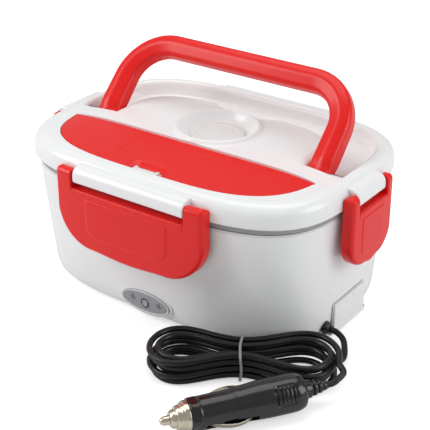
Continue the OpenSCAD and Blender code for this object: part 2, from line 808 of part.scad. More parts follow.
module plug_tip() {
    s = plug_nose_start;
    color(steel) on_plug() rotate_extrude($fn = 48)
        polygon([[0, s - 3], [4.4, s - 3], [4.4, s - 0.5], [2.6, s - 0.5], [2.6, plug_end - 2.6],
            [2.1, plug_end - 0.8], [1.1, plug_end], [0, plug_end]]);
}

module plug_spring() {
    color(steel) on_plug() rotate_extrude($fn = 36)
        polygon([[3.2, 75], [4.4, 75], [4.4, plug_nose_start - 3], [3.2, plug_nose_start - 3]]);
}

module plug_fuse() {
    color(pale) on_plug() translate([0, 0, 41]) cylinder(r = 3, h = 29.6, $fn = 36);
}

base_shell();
bottom_cover();
rubber_feet();
bottom_screws();
inner_liner();
heating_plate();
ptc_heater();
heater_clamp();
thermal_fuse();
indicator_panel();
lamp_lens();
led_board();
inlet_housing();
dc_inlet();
inlet_cover();
inlet_cover_pin();
lid_shell();
lid_liner();
lid_seal();
vent_plug();
spoon_cover();
spoon_catch();
handle();
handle_pins();
front_latch();
rear_latch();
right_latch();
left_latch();
food_tray();
side_tray();
lead_gland();
lead_box_run();
lead_hank();
lead_plug_run();
cord_tie();
plug_strain_relief();
plug_body();
plug_side_contacts();
plug_nose();
plug_tip();
plug_spring();
plug_fuse();
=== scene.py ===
import math

import bmesh
import bpy
import numpy as np
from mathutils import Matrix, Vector


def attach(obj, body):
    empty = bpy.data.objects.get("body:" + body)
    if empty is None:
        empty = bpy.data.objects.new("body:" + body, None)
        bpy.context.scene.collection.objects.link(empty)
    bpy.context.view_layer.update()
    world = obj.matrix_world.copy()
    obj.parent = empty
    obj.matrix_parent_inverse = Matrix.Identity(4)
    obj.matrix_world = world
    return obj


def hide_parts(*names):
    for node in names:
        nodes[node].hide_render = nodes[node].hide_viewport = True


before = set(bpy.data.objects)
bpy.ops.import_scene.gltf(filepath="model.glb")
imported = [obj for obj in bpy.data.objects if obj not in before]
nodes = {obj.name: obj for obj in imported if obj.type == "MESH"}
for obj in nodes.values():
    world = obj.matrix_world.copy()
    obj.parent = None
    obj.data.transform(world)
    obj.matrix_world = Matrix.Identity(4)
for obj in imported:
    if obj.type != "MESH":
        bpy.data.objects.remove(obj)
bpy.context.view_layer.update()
mm = 0.001
print("frame loaded:", len(nodes), "nodes")

# Camera
cameraSpec = {
    "azimuth": 35.63,
    "elevation": 26.04,
    "distance": 766.0,
    "target": (0.0, 0.0, 60.0),
    "lens": 98.3,
    "shift": (0.0068, -0.0485),
}


def linked(name, data):
    made = bpy.data.objects.new(name, data)
    bpy.context.scene.collection.objects.link(made)
    return made


def aim(made, place, way):
    # Stands the object at `place`, in metres, looking along `way`.
    made.location = place
    made.rotation_mode = "QUATERNION"
    made.rotation_quaternion = way.to_track_quat("-Z", "Y")


def placeCamera(spec):
    # Back direction from azimuth and elevation: (sin a cos e, -cos a cos e, sin e).
    a, e = math.radians(spec["azimuth"]), math.radians(spec["elevation"])
    back = Vector((math.sin(a) * math.cos(e), -math.cos(a) * math.cos(e), math.sin(e)))
    lens = bpy.data.cameras.new("camera")
    lens.lens = spec["lens"]
    lens.shift_x, lens.shift_y = spec["shift"]
    lens.clip_start, lens.clip_end = 0.01, 30.0
    camera = linked("camera", lens)
    aim(camera, (Vector(spec["target"]) + back * spec["distance"]) * mm, -back)
    bpy.context.scene.camera = camera


placeCamera(cameraSpec)
print("camera placed")

# The lead
leadSpec = {
    "diameter": 3.8,
    "hankHalf": 49.0,
    "hankSide": 22.0,
    "hankCentre": (81.0, -83.5),
    "hankTurn": math.radians(30),
    "spreadEnd": 5.0,
    "spreadLobe": 10.0,
    "spreadWaist": 6.3,
    "waistSide": 1.8,
    "layerRise": 4.4,
    "tieLift": 0.8,
    "loops": 6,
    "outFrom": 4.5,
    "stepsPerLoop": 96,
    "exit": (107.0, -25.0, 8.6),
    "boxRoute": [(111, -25, 8.2), (116, -26.5, 6.4), (120, -31, 4.4), (124, -39, 2.6)],
    "plugRoute": [(139.5, -67, 14), (139, -73, 12.2)],
    "plugEntry": (135.5, -79.5, 11.2),
    "plugHeading": math.radians(236),
}


def smoothStep(x, low, high):
    s = np.clip((x - low) / (high - low), 0, 1)
    return s * s * (3 - 2 * s)


def hankPoints(spec, t):
    # Loops round two lobes with a waist between: along = half cos a, across = side sin a,
    # drawn in by sin^4 a. Each turn spreads or climbs a layer, and the last one goes outward.
    u = t - 3 * np.floor(t / 3)
    last = t - spec["outFrom"]
    spread = np.select([last > 0, u < 1, u < 1.5, u < 2.5], [last, 1 - u, 0 * u, u - 1.5], 1.0)
    climb = smoothStep(u, 1, 1.5) + smoothStep(u, 2.5, 3)
    layer = np.where(last > 0, 3.0, 2 * np.floor(t / 3) + climb)
    a = 2 * np.pi * t
    waist = np.sin(a) ** 4
    along = (spec["hankHalf"] + spec["spreadEnd"] * spread) * np.cos(a)
    across = np.sin(a) * (
        (spec["hankSide"] + spec["spreadLobe"] * spread) * (1 - waist)
        + (spec["waistSide"] + spec["spreadWaist"] * spread) * waist
    )
    c, s = math.cos(spec["hankTurn"]), math.sin(spec["hankTurn"])
    floor = spec["diameter"] / 2 + 0.2
    return np.stack([
        spec["hankCentre"][0] + along * c + across * s,
        spec["hankCentre"][1] + along * s - across * c,
        floor + spec["layerRise"] * layer + spec["tieLift"] * waist,
    ], 1)


def smoothRoute(points, steps):
    # Catmull-Rom curve through the points a, b, c, d, from b to c.
    p = np.asarray(points, float)
    before, after = np.vstack([p[:1], p[:-2]]), np.vstack([p[2:], p[-1:]])
    t = np.linspace(0, 1, steps, endpoint=False)[None, :, None]
    a, b, c, d = (x[:, None, :] for x in (before, p[:-1], p[1:], after))
    square, cube = 2 * a - 5 * b + 4 * c - d, 3 * b - a - 3 * c + d
    curve = 0.5 * (2 * b + (c - a) * t + square * t**2 + cube * t**3)
    return np.vstack([curve.reshape(-1, 3), p[-1:]])


def leadPath(spec):
    way = np.array([math.sin(spec["hankTurn"]), -math.cos(spec["hankTurn"]), 0.0])
    turns = hankPoints(spec, np.linspace(0, spec["loops"], spec["loops"] * spec["stepsPerLoop"] + 1))
    start = turns[0] - spec["diameter"] * way
    end = turns[-1] + spec["diameter"] * way
    entry = np.array(spec["plugEntry"])
    plugWay = np.array([math.cos(spec["plugHeading"]), math.sin(spec["plugHeading"]), 0.0])
    leave = np.array(spec["exit"])
    boxRoute = [leave + [1, 0, 0], *spec["boxRoute"], start - 6 * way, start - way]
    plugRoute = [end + way, end + 5 * way, *spec["plugRoute"], entry - 4 * plugWay, entry - plugWay]
    return np.vstack([leave, smoothRoute(boxRoute, 8), start, turns, end, smoothRoute(plugRoute, 8), entry])


def curveAlong(name, points, radius, sides):
    # The points carry the radius, since a curve's bound box grows by the radius of its points.
    line = bpy.data.curves.new(name, "CURVE")
    line.dimensions = "3D"
    line.bevel_depth = 1.0
    line.bevel_resolution = sides
    line.use_fill_caps = True
    spline = line.splines.new("POLY")
    spline.points.add(len(points) - 1)
    spline.points.foreach_set("co", np.hstack([points * mm, np.ones((len(points), 1))]).ravel())
    spline.points.foreach_set("radius", np.full(len(points), radius * mm))
    spline.use_smooth = True
    return linked(name, line)


leadPoints = leadPath(leadSpec)
lead = curveAlong("lead", leadPoints, leadSpec["diameter"] / 2, 4)
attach(lead, "box")
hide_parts("lead_box_run", "lead_hank", "lead_plug_run")


# Finishes
def linear(r, g, b):
    # Screen colour 0-255 to the linear colour that the shaders use.
    c = np.array([r, g, b], float) / 255
    return (*np.where(c <= 0.04045, c / 12.92, ((c + 0.055) / 1.055) ** 2.4), 1.0)


def newGroup(name, inputs, outputs):
    group = bpy.data.node_groups.new(name, "ShaderNodeTree")
    for label, value in inputs.items():
        socket = group.interface.new_socket(label, in_out="INPUT", socket_type="NodeSocketFloat")
        socket.default_value = value
    for label in outputs:
        group.interface.new_socket(label, in_out="OUTPUT", socket_type="NodeSocketFloat")
    return group, group.nodes.new("NodeGroupInput"), group.nodes.new("NodeGroupOutput")


def mathNode(tree, operation, first, second):
    node = tree.nodes.new("ShaderNodeMath")
    node.operation = operation
    for socket, value in zip(node.inputs, (first, second)):
        if isinstance(value, (int, float)):
            socket.default_value = value
        else:
            tree.links.new(value, socket)
    return node.outputs[0]


def noiseNode(tree, scale, detail, roughness=0.5):
    node = tree.nodes.new("ShaderNodeTexNoise")
    coordinates = tree.nodes.new("ShaderNodeTexCoord")
    tree.links.new(coordinates.outputs["Object"], node.inputs["Vector"])
    for label, value in (("Scale", scale), ("Detail", detail), ("Roughness", roughness)):
        node.inputs[label].default_value = value
    return node.outputs["Fac"]


def mouldedSkinGroup():
    # A moulded surface: fine grain for the bump, slow flow marks for the gloss, and a
    # faint uneven tone.
    group, given, result = newGroup(
        "mouldedSkin", {"Grain": 0.2, "Flow": 0.06, "Gloss": 0.3}, ("Roughness", "Height", "Tone")
    )
    grain, tone = noiseNode(group, 1800.0, 3.0), noiseNode(group, 9.0, 3.0)
    flow = noiseNode(group, 22.0, 4.0, 0.6)
    swing = mathNode(group, "MULTIPLY", mathNode(group, "SUBTRACT", flow, 0.5), given.outputs["Flow"])
    gloss = mathNode(group, "ADD", swing, given.outputs["Gloss"])
    slow = mathNode(group, "MULTIPLY", flow, 0.6)
    height = mathNode(group, "ADD", mathNode(group, "MULTIPLY", grain, given.outputs["Grain"]), slow)
    for label, value in (("Roughness", gloss), ("Height", height), ("Tone", tone)):
        group.links.new(value, result.inputs[label])
    return group


mouldedSkin = mouldedSkinGroup()

finishColumns = ("colour", "second", "gloss", "flow", "grain", "bump", "specular", "coat", "metal")
finishSpecs = {
    "whitePlastic": ((240, 241, 241), (235, 237, 238), 0.24, 0.06, 0.03, 0.03, 0.5, 0.15, 0),
    "trayPlastic": ((226, 227, 224), (214, 216, 214), 0.36, 0.1, 0.3, 0.08, 0.5, 0, 0),
    "redPlastic": ((231, 24, 18), (224, 18, 14), 0.3, 0.07, 0.04, 0.03, 0.36, 0.05, 0),
    "sealRubber": ((166, 166, 167), (152, 152, 154), 0.6, 0.1, 0.8, 0.15, 0.3, 0, 0),
    "ventRubber": ((230, 231, 230), (221, 222, 221), 0.34, 0.12, 0.4, 0.1, 0.5, 0.1, 0),
    "footRubber": ((42, 42, 44), (32, 32, 34), 0.75, 0.1, 1, 0.2, 0.3, 0, 0),
    "blackPlastic": ((17, 17, 18), (10, 10, 11), 0.2, 0.08, 0.15, 0.05, 0.5, 0.25, 0),
    "cordSheath": ((10, 12, 12), (5, 6, 6), 0.34, 0.14, 0.3, 0.08, 0.42, 0, 0),
    "panelGrey": ((158, 160, 164), (146, 148, 152), 0.38, 0.06, 0.3, 0.06, 0.5, 0.1, 0),
    "panelRim": ((214, 215, 218), (202, 204, 208), 0.22, 0.05, 0.1, 0.04, 0.5, 0.2, 0),
    "symbolInk": ((58, 60, 64), (48, 50, 54), 0.5, 0.05, 0.4, 0.05, 0.4, 0, 0),
    "tieBand": ((150, 152, 156), (128, 130, 134), 0.4, 0.1, 0.5, 0.12, 0.5, 0, 0),
    "ceramic": ((205, 200, 190), (188, 183, 172), 0.6, 0.1, 0.9, 0.2, 0.4, 0, 0),
    "boardLacquer": ((28, 92, 52), (22, 78, 44), 0.35, 0.1, 0.6, 0.1, 0.5, 0.2, 0),
    "platedMetal": ((214, 208, 192), (190, 182, 160), 0.16, 0.12, 0.3, 0.1, 0.5, 0, 1),
    "brushedSteel": ((176, 178, 182), (152, 154, 160), 0.3, 0.12, 0.9, 0.12, 0.5, 0, 1),
    "heaterPlate": ((190, 192, 196), (166, 168, 174), 0.4, 0.12, 1, 0.15, 0.5, 0, 1),
}


def principled(name):
    finish = bpy.data.materials.new(name)
    finish.use_nodes = True
    return finish, finish.node_tree, finish.node_tree.nodes["Principled BSDF"]


def bumpInto(tree, shader, height, strength):
    bump = tree.nodes.new("ShaderNodeBump")
    bump.inputs["Strength"].default_value = strength
    bump.inputs["Distance"].default_value = 0.0002
    tree.links.new(height, bump.inputs["Height"])
    tree.links.new(bump.outputs["Normal"], shader.inputs["Normal"])


def skinFinish(name, spec):
    finish, tree, shader = principled(name)
    skin = tree.nodes.new("ShaderNodeGroup")
    skin.node_tree = mouldedSkin
    for label, key in (("Grain", "grain"), ("Flow", "flow"), ("Gloss", "gloss")):
        skin.inputs[label].default_value = spec[key]
    mix = tree.nodes.new("ShaderNodeMix")
    mix.data_type = "RGBA"
    mix.inputs["A"].default_value = linear(*spec["colour"])
    mix.inputs["B"].default_value = linear(*spec["second"])
    tree.links.new(skin.outputs["Tone"], mix.inputs["Factor"])
    tree.links.new(mix.outputs["Result"], shader.inputs["Base Color"])
    tree.links.new(skin.outputs["Roughness"], shader.inputs["Roughness"])
    for label, key in (("Specular IOR Level", "specular"), ("Coat Weight", "coat"), ("Metallic", "metal")):
        shader.inputs[label].default_value = spec[key]
    shader.inputs["Coat Roughness"].default_value = 0.08
    bumpInto(tree, shader, skin.outputs["Height"], spec["bump"])
    return finish


finishes = {name: skinFinish(name, dict(zip(finishColumns, row))) for name, row in finishSpecs.items()}


def clearLensFinish():
    # A nearly clear lens with a faint cloud in it.
    finish, tree, shader = principled("clearLens")
    shader.inputs["Base Color"].default_value = linear(232, 236, 240)
    shader.inputs["Transmission Weight"].default_value = 0.7
    shader.inputs["IOR"].default_value = 1.49
    cloud = noiseNode(tree, 900.0, 2.0)
    tree.links.new(mathNode(tree, "MULTIPLY", cloud, 0.3), shader.inputs["Roughness"])
    return finish


finishes["clearLens"] = clearLensFinish()
lead.data.materials.append(finishes["cordSheath"])

finishNodes = {
    "whitePlastic": "base_shell bottom_cover inlet_cover lid_shell lid_liner side_tray",
    "redPlastic": "spoon_cover handle front_latch rear_latch right_latch left_latch",
    "trayPlastic": "inner_liner spoon_catch food_tray",
    "blackPlastic": "inlet_housing lead_gland plug_strain_relief plug_body",
    "brushedSteel": "bottom_screws heater_clamp dc_inlet inlet_cover_pin handle_pins plug_spring",
    "platedMetal": "plug_side_contacts plug_nose plug_tip",
    "ceramic": "ptc_heater thermal_fuse plug_fuse",
    "footRubber": "rubber_feet",
    "heaterPlate": "heating_plate",
    "panelGrey": "indicator_panel",
    "clearLens": "lamp_lens",
    "boardLacquer": "led_board",
    "sealRubber": "lid_seal",
    "ventRubber": "vent_plug",
    "tieBand": "cord_tie",
}
for finishName, held in finishNodes.items():
    for name in held.split():
        nodes[name].data.materials.clear()
        nodes[name].data.materials.append(finishes[finishName])
print("finishes ready:", len(finishes))

# Making surfaces
lidHalf = np.array([110.0, 81.0])
bodyHalf = np.array([106.9, 78.6])
bodyLean = np.array([0.05, 0.12])
bodyTop = 83.0
planPower = 3.6


def around(count):
    return np.linspace(0, 2 * np.pi, count, endpoint=False)


def sweep(count):
    # From -1 to 1, closer together near the ends.
    return np.sin(np.linspace(-np.pi / 2, np.pi / 2, count))


def boxRadius(t, power):
    # The radius of a rounded box of half width 1 in the direction t.
    return (np.abs(np.cos(t)) ** power + np.abs(np.sin(t)) ** power) ** (-1 / power)


def planDepth(x, halfLength, halfDepth):
    # Where the same outline stands at x: b (1 - |x/a|^p)^(1/p).
    return halfDepth * (1 - (np.abs(x) / halfLength) ** planPower) ** (1 / planPower)


def planRings(halfLengths, halfDepths, heights, count=192, power=planPower):
    # x = a k cos t, y = b k sin t, with k the box radius: a ring for each a, b and z.
    t = around(count)
    k = boxRadius(t, power)
    a, b, z = (np.asarray(v, float)[:, None] for v in (halfLengths, halfDepths, heights))
    return np.stack([a * k * np.cos(t), b * k * np.sin(t), z + 0 * k * a], -1)


def lidRings(profile):
    # Rings of the lid's outline, drawn in by profile[:, 0] at height profile[:, 1].
    return planRings(lidHalf[0] - profile[:, 0], lidHalf[1] - profile[:, 0], profile[:, 1])


def bodyRings(profile):
    # The same for the body, whose walls lean in by bodyLean for each millimetre below its top.
    fall = bodyTop - profile[:, 1]
    half = bodyHalf[:, None] - bodyLean[:, None] * fall - profile[:, 0]
    return planRings(half[0], half[1], profile[:, 1])


def circleRings(profile, count=96):
    return planRings(profile[:, 0], profile[:, 0], profile[:, 1], count, 2.0)


def alongX(rings, y=0.0, z=0.0):
    # Rings about Z turned to lie about X, at that y and z.
    return np.stack([rings[..., 2], rings[..., 0] + y, rings[..., 1] + z], -1)


def softCorners(points, cuts, steps=5, closed=False):
    # Each corner becomes the quadratic curve from `cut` before it to `cut` after it.
    p = np.asarray(points, float)
    cut = np.broadcast_to(np.asarray(cuts, float), len(p))[:, None]
    before, after = np.roll(p, 1, 0), np.roll(p, -1, 0)
    if not closed:
        before[0], after[-1] = p[0], p[-1]
    toBefore, toAfter = before - p, after - p
    unit = lambda v: v / np.maximum(np.linalg.norm(v, axis=1, keepdims=True), 1e-9)
    start, end = p + cut * unit(toBefore), p + cut * unit(toAfter)
    t = np.linspace(0, 1, steps + 1)[None, :, None]
    curve = (1 - t) ** 2 * start[:, None] + 2 * t * (1 - t) * p[:, None] + t**2 * end[:, None]
    dense = curve.reshape(-1, 2)
    return dense[np.r_[True, np.linalg.norm(np.diff(dense, axis=0), axis=1) > 1e-4]]


def insetOutline(outline, inset):
    # Each point moves in by `inset` along the mean of its two edges' normals.
    edge = np.roll(outline, -1, 0) - outline
    normal = np.stack([edge[:, 1], -edge[:, 0]], 1)
    normal /= np.maximum(np.linalg.norm(normal, axis=1, keepdims=True), 1e-9)
    mean = normal + np.roll(normal, 1, 0)
    mean /= np.maximum(np.linalg.norm(mean, axis=1, keepdims=True), 1e-9)
    return outline - inset * mean


def outlineRings(outline, layers):
    # Rings [across, along, depth] of a closed outline, one for each (inset, depth).
    layer = lambda inset, depth: np.column_stack([insetOutline(outline, inset), np.full(len(outline), depth)])
    return np.stack([layer(inset, depth) for inset, depth in layers])


def newPiece(name, points, faces):
    mesh = bpy.data.meshes.new(name)
    mesh.from_pydata((points * mm).tolist(), [], faces)
    work = bmesh.new()
    work.from_mesh(mesh)
    bmesh.ops.remove_doubles(work, verts=work.verts, dist=1e-7)
    bmesh.ops.recalc_face_normals(work, faces=work.faces)
    work.to_mesh(mesh)
    work.free()
    return linked(name, mesh)


def ringSolid(name, rings, joined=False, capped=True):
    # Point i of each ring joins point i of the next; the end rings get a face each, or the
    # last ring meets the first.
    m, n, _ = rings.shape
    rows = m if joined else m - 1
    i = np.arange(n)
    lower, upper = np.arange(rows)[:, None] * n, ((np.arange(rows) + 1) % m)[:, None] * n
    corners = np.broadcast_arrays(lower + i, lower + (i + 1) % n, upper + (i + 1) % n, upper + i)
    faces = np.stack(corners, -1).reshape(-1, 4).tolist()
    if capped and not joined:
        faces += [list(range(n))[::-1], list(range((m - 1) * n, m * n))]
    return newPiece(name, rings.reshape(-1, 3), faces)


def plateSolid(name, front, back):
    # Two grids over the same rows and columns, joined round their edges.
    m, n, _ = front.shape
    grid = np.arange(m * n).reshape(m, n)
    quads = np.stack([grid[:-1, :-1], grid[:-1, 1:], grid[1:, 1:], grid[1:, :-1]], -1).reshape(-1, 4)
    edge = np.concatenate([grid[0, :-1], grid[:-1, -1], grid[-1, :0:-1], grid[:0:-1, 0]])
    walls = np.stack([edge, np.roll(edge, -1), np.roll(edge, -1) + m * n, edge + m * n], -1)
    faces = np.concatenate([quads, quads[:, ::-1] + m * n, walls]).tolist()
    return newPiece(name, np.concatenate([front.reshape(-1, 3), back.reshape(-1, 3)]), faces)


def rodBetween(name, radius, start, end, rounding=0.0):
    # A round bar along X from start = (x, y, z) to x = end, with softened rims.
    (x0, y, z), x1 = start, end
    r = rounding
    profile = np.array([(radius - r, x0), (radius, x0 + r), (radius, x1 - r), (radius - r, x1)])
    return ringSolid(name, alongX(circleRings(profile, 64), y, z))


def blockBetween(name, low, high):
    (x0, y0, z0), (x1, y1, z1) = low, high
    ring = lambda z: [(x0, y0, z), (x1, y0, z), (x1, y1, z), (x0, y1, z)]
    return ringSolid(name, np.array([ring(z0), ring(z1)], float))


def turned(points, turn):
    # Points turned about the upright axis by `turn` degrees.
    c, s = math.cos(math.radians(turn)), math.sin(math.radians(turn))
    return points @ np.array([[c, s, 0], [-s, c, 0], [0, 0, 1.0]])


def moveRings(rings, turn):
    return turned(rings.reshape(-1, 3), turn).reshape(rings.shape)


def movePoints(piece, change):
    # Each point of the piece, in metres, goes where `change` puts it.
    points = np.empty(len(piece.data.vertices) * 3)
    piece.data.vertices.foreach_get("co", points)
    piece.data.vertices.foreach_set("co", change(points.reshape(-1, 3)).ravel())
    piece.data.update()


def sideReach(turn):
    # How far out the lid's side that faces `turn` stands, and half of how far it runs.
    return tuple(lidHalf[::-1]) if turn % 180 == 0 else tuple(lidHalf)


def sideBar(name, profile, half, turn):
    # A profile [outward, height] run across the side that it faces.
    profile = np.asarray(profile, float)
    ends = [np.column_stack([np.full(len(profile), x), -profile[:, 0], profile[:, 1]]) for x in (-half, half)]
    return ringSolid(name, moveRings(np.array(ends), turn))


def bake(piece):
    graph = bpy.context.evaluated_depsgraph_get()
    graph.update()
    made = bpy.data.meshes.new_from_object(piece.evaluated_get(graph))
    piece.modifiers.clear()
    piece.data = made
    return piece


def carve(piece, joins=(), cuts=()):
    for others, operation in ((joins, "UNION"), (cuts, "DIFFERENCE")):
        for other in others:
            step = piece.modifiers.new("carve", "BOOLEAN")
            step.operation, step.object, step.solver = operation, other, "MANIFOLD"
    bake(piece)
    for other in (*joins, *cuts):
        bpy.data.objects.remove(other)
    return piece


def roundEdges(piece, width, segments=2, angle=35):
    step = piece.modifiers.new("rounding", "BEVEL")
    step.width, step.segments = width * mm, segments
    step.limit_method, step.angle_limit = "ANGLE", math.radians(angle)
    step.use_clamp_overlap = True
    return bake(piece)


def finishPiece(piece, body, finishName, slotName, *replaced, smooth=42):
    mesh = piece.data
    mesh.materials.clear()
    mesh.materials.append(finishes[finishName])
    mesh.shade_smooth()
    mesh.set_sharp_from_angle(angle=math.radians(smooth))
    normals = piece.modifiers.new("normals", "WEIGHTED_NORMAL")
    normals.keep_sharp = True
    bake(piece)
    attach(piece, body)
    if replaced:
        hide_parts(*replaced)
    return piece


# Body
bodySpec = {
    "profile": [(5.2, 2), (2.6, 3), (1.2, 5), (0.4, 8), (0, 12), (0, 83), (2.4, 83), (2.4, 12),
                (3.4, 6), (5.8, 4.5), (7.4, 2)],
    "cuts": [0.3, 1.2, 1.0, 1.5, 1.9, 0.7, 0.7, 1.5, 0.8, 0.5, 0.2],
    "catch": [(-6, 63.9), (-4.4, 66.1), (0, 72.4), (0, 74), (-4.4, 78), (-6, 78)],
    "catchHalf": {0: 26, 180: 26, 90: 11, 270: 11},
    "pad": (71.3, 66.6, 0.7),
    "padMargin": (1.8, 1.6),
    "panelFace": 72.0,
    "panelThick": 1.6,
    "panelZ": 13.4,
    "panelHalf": 19.0,
    "panelRise": 7.4,
    "inlet": ((96, -15, 7.4), (108, 15, 19)),
    "flapSeat": ((103.0, -18.9, -1), (109, 18.9, 22.9)),
    "lugs": (18.9, 1.6, 1.8, 98.0),
    "glandHole": (3.3, (92, -25, 8.6), 110),
}
flapSpec = {
    "x": (103.4, 105.6),
    "half": 18.5,
    "low": 2.6,
    "high": 21.5,
    "hinge": (104.6, 2.6),
    "barrel": 1.6,
    "pinHole": 0.85,
    "slit": {"half": 4.5, "radius": 1.3, "below": 2.2, "beyond": 0.5},
}


def ovalSolid(name, half, rise, front, back, rounding=0.0, z=bodySpec["panelZ"], count=96):
    # An oval bar along Y at height z, from y = -front to y = -back.
    t = around(count)
    layers = [(0, back), (0, front - rounding)]
    if rounding:
        a = np.linspace(0, np.pi / 2, 5)[1:]
        layers += [(rounding * (1 - math.cos(v)), front - rounding + rounding * math.sin(v)) for v in a]
    rings = np.stack([
        np.stack([(half - i) * np.cos(t), np.full(count, -d), (rise - i) * np.sin(t) + z], 1)
        for i, d in layers
    ])
    return ringSolid(name, rings)


def makeBody(spec):
    profile = softCorners(spec["profile"], spec["cuts"], closed=True)
    shell = ringSolid("bodyShell", bodyRings(profile), joined=True)
    joins = [
        sideBar("catch", np.array(spec["catch"]) + [sideReach(turn)[0], 0], half, turn)
        for turn, half in spec["catchHalf"].items()
    ]
    wide, high = spec["padMargin"]
    joins.append(ovalSolid("pad", spec["panelHalf"] + wide, spec["panelRise"] + high, *spec["pad"]))
    inner, width, radius, root = spec["lugs"]
    x, z = flapSpec["hinge"]
    for y in (inner, -inner - width):
        joins.append(blockBetween("lug", (root, y, z - radius), (x, y + width, z + radius)))
    cuts = [
        ovalSolid("seat", spec["panelHalf"], spec["panelRise"], 76, spec["panelFace"] - spec["panelThick"]),
        blockBetween("inletOpening", *spec["inlet"]),
        blockBetween("flapSeat", *spec["flapSeat"]),
        rodBetween("glandHole", *spec["glandHole"]),
    ]
    carve(shell, joins, cuts)
    roundEdges(shell, 0.25, 2)
    return finishPiece(shell, "box", "whitePlastic", "white_plastic", "base_shell")


makeBody(bodySpec)
print("body made")

# Indicator
indicatorSpec = {
    "gap": 0.05,
    "rim": 1.3,
    "rimRise": 0.35,
    "rimInset": 0.7,
    "lampZ": 12.8,
    "lampHole": 2.05,
    "lampRing": (2.5, 3.3),
    "symbols": ((-9.4, 14.6, 1.9), (11.2, 14.2, 1.9)),
    "symbolLine": 0.35,
    "symbolDot": (0.1, 0.75),
    "markRise": 0.06,
}


def ringOnPanel(name, centre, inner, outer, face, rise, start=0.0, sweep=360.0):
    # A flat ring, or part of one, standing `rise` proud of the panel.
    t = np.radians(np.linspace(start, start + sweep, 49))
    radii = np.array([inner, outer])
    flat = np.stack([centre[0] + radii[:, None] * np.cos(t), centre[1] + radii[:, None] * np.sin(t)], -1)
    layer = lambda y: np.stack([flat[..., 0], np.full(flat.shape[:2], y), flat[..., 1]], -1)
    return plateSolid(name, layer(-(face + rise)), layer(-(face - 0.2)))


def makeIndicator(spec, body):
    face, thick, gap = body["panelFace"], body["panelThick"], spec["gap"]
    half, rise = body["panelHalf"] - gap, body["panelRise"] - gap
    panel = ovalSolid("indicatorPanel", half, rise, face, face - thick, 0.4)
    hole = spec["lampHole"]
    carve(panel, cuts=[ovalSolid("lampHole", hole, hole, face + 4, face - 4, 0.0, spec["lampZ"], 64)])
    finishPiece(panel, "box", "panelGrey", "panel_grey", "indicator_panel")
    t, a = around(128)[None, :], around(16)[:, None]
    half, rise = body["panelHalf"] - spec["rimInset"], body["panelRise"] - spec["rimInset"]
    rim = spec["rim"] / 2
    tube = np.stack([
        (half + rim * np.cos(a)) * np.cos(t),
        gap - face - spec["rimRise"] * np.sin(a) + 0 * t,
        (rise + rim * np.cos(a)) * np.sin(t) + body["panelZ"],
    ], -1)
    finishPiece(ringSolid("indicatorRim", tube, joined=True), "box", "panelRim", "panel_grey")
    proud = spec["markRise"]
    marks = [ringOnPanel("lampRing", (0, spec["lampZ"]), *spec["lampRing"], face, proud)]
    for x, z, r in spec["symbols"]:
        marks.append(ringOnPanel("symbol", (x, z), r - spec["symbolLine"], r, face, proud, 60, 300))
        marks.append(ringOnPanel("symbolDot", (x, z), *spec["symbolDot"], face, proud))
    for i, mark in enumerate(marks):
        mark.name = f"indicatorMark{i}"
        finishPiece(mark, "box", "symbolInk", "panel_grey")


makeIndicator(indicatorSpec, bodySpec)
print("indicator made")

# Lid
lidSpec = {
    "edge": [(0.8, 88.7), (0, 89.5), (0, 95.5), (0.5, 98), (1.7, 100.2), (3.6, 101.9), (6.2, 102.8),
             (9.5, 103)],
    "edgeCuts": [0.4, 0.5, 1.2, 1.1, 1.1, 1.1, 1.2, 1.5],
    "top": 103.0,
    "crown": {"rise": 2.4, "half": 92.0, "middle": 8.0, "reach": 78.0, "rear": 52.0},
    "channel": [(14.5, 92.8), (12.6, 94.0), (11.6, 97.2), (11.0, 101.0), (9.6, 102.7), (7.4, 103.4),
                (7.4, 112)],
    "channelCuts": [0, 0.9, 1.0, 1.4, 1.2, 0, 0],
    "plateau": [(-0.4, 91.6), (-0.3, 94.2), (0, 98), (0, 101.6), (0.7, 103.2), (2.2, 104.1), (5.5, 105.2),
                (5.5, 112)],
    "plateauCuts": [0, 0.5, 1.0, 1.0, 0.8, 0.8, 0, 0],
    "plateauHalf": (73.7, 44.0),
    "channelFront": -10.2,
    "scoop": [(46.3, 87.8), (46.7, 93.8), (48.5, 103.2), (49.9, 104.4), (52.7, 105), (52.7, 113)],
    "scoopCuts": [0, 1, 1, 0.8, 0, 0],
    "scoopY": 83.4,
    "ventHole": 3.6,
    "pocket": (73.7, 98.5, -10.2, 11.0, 93.2),
    "collar": [(0, 100), (30.6, 100), (30.6, 104.6), (29.2, 105.3), (27.8, 106.7), (26.9, 107.35),
               (0, 107.35)],
    "collarCuts": [0, 0, 0.6, 0.6, 0.6, 0.5, 0],
    "bowl": [(0, 100.1), (18.2, 100.1), (20.4, 100.9), (22.4, 102.7), (24.2, 105.1), (25.6, 106.9),
             (26.6, 107.6), (26.6, 112), (0, 112)],
    "bowlCuts": [0, 0.9, 1.0, 1.1, 1.1, 0.8, 0, 0, 0],
    "bowlY": 6.0,
    "tub": (6.4, 29.2, 81.8, 91.8),
    "coverFloor": 100.2,
    "coverGap": 0.35,
    "well": (7.8, 31.6, 83.2),
    "hinge": (26.5, 101.8),
    "hingeHalf": 91.6,
    "tab": {"low": (4.4, 92.2, 2.0), "high": (-0.5, 95.0, 6.9, 6.0), "root": 3.0},
    "tabHalf": {0: 41.6, 180: 45.9, 90: 16.2, 270: 18.6},
}
coverSpec = {
    "half": 91.2,
    "outline": (92.0, 70.0),
    "bottom": 100.5,
    "edge": 0.7,
    "notch": (9.0, 12.5, 6.2),
    "scoop": (2.2, 8.0),
    "field": (-6.0, -45.5, 25.0, 12.5, 3.0, 0.3),
    "fieldBlend": (-0.9, 0.1),
    "rearBand": 4,
    "end": (9.0, 0.3),
    "columns": 381,
    "rows": 121,
}


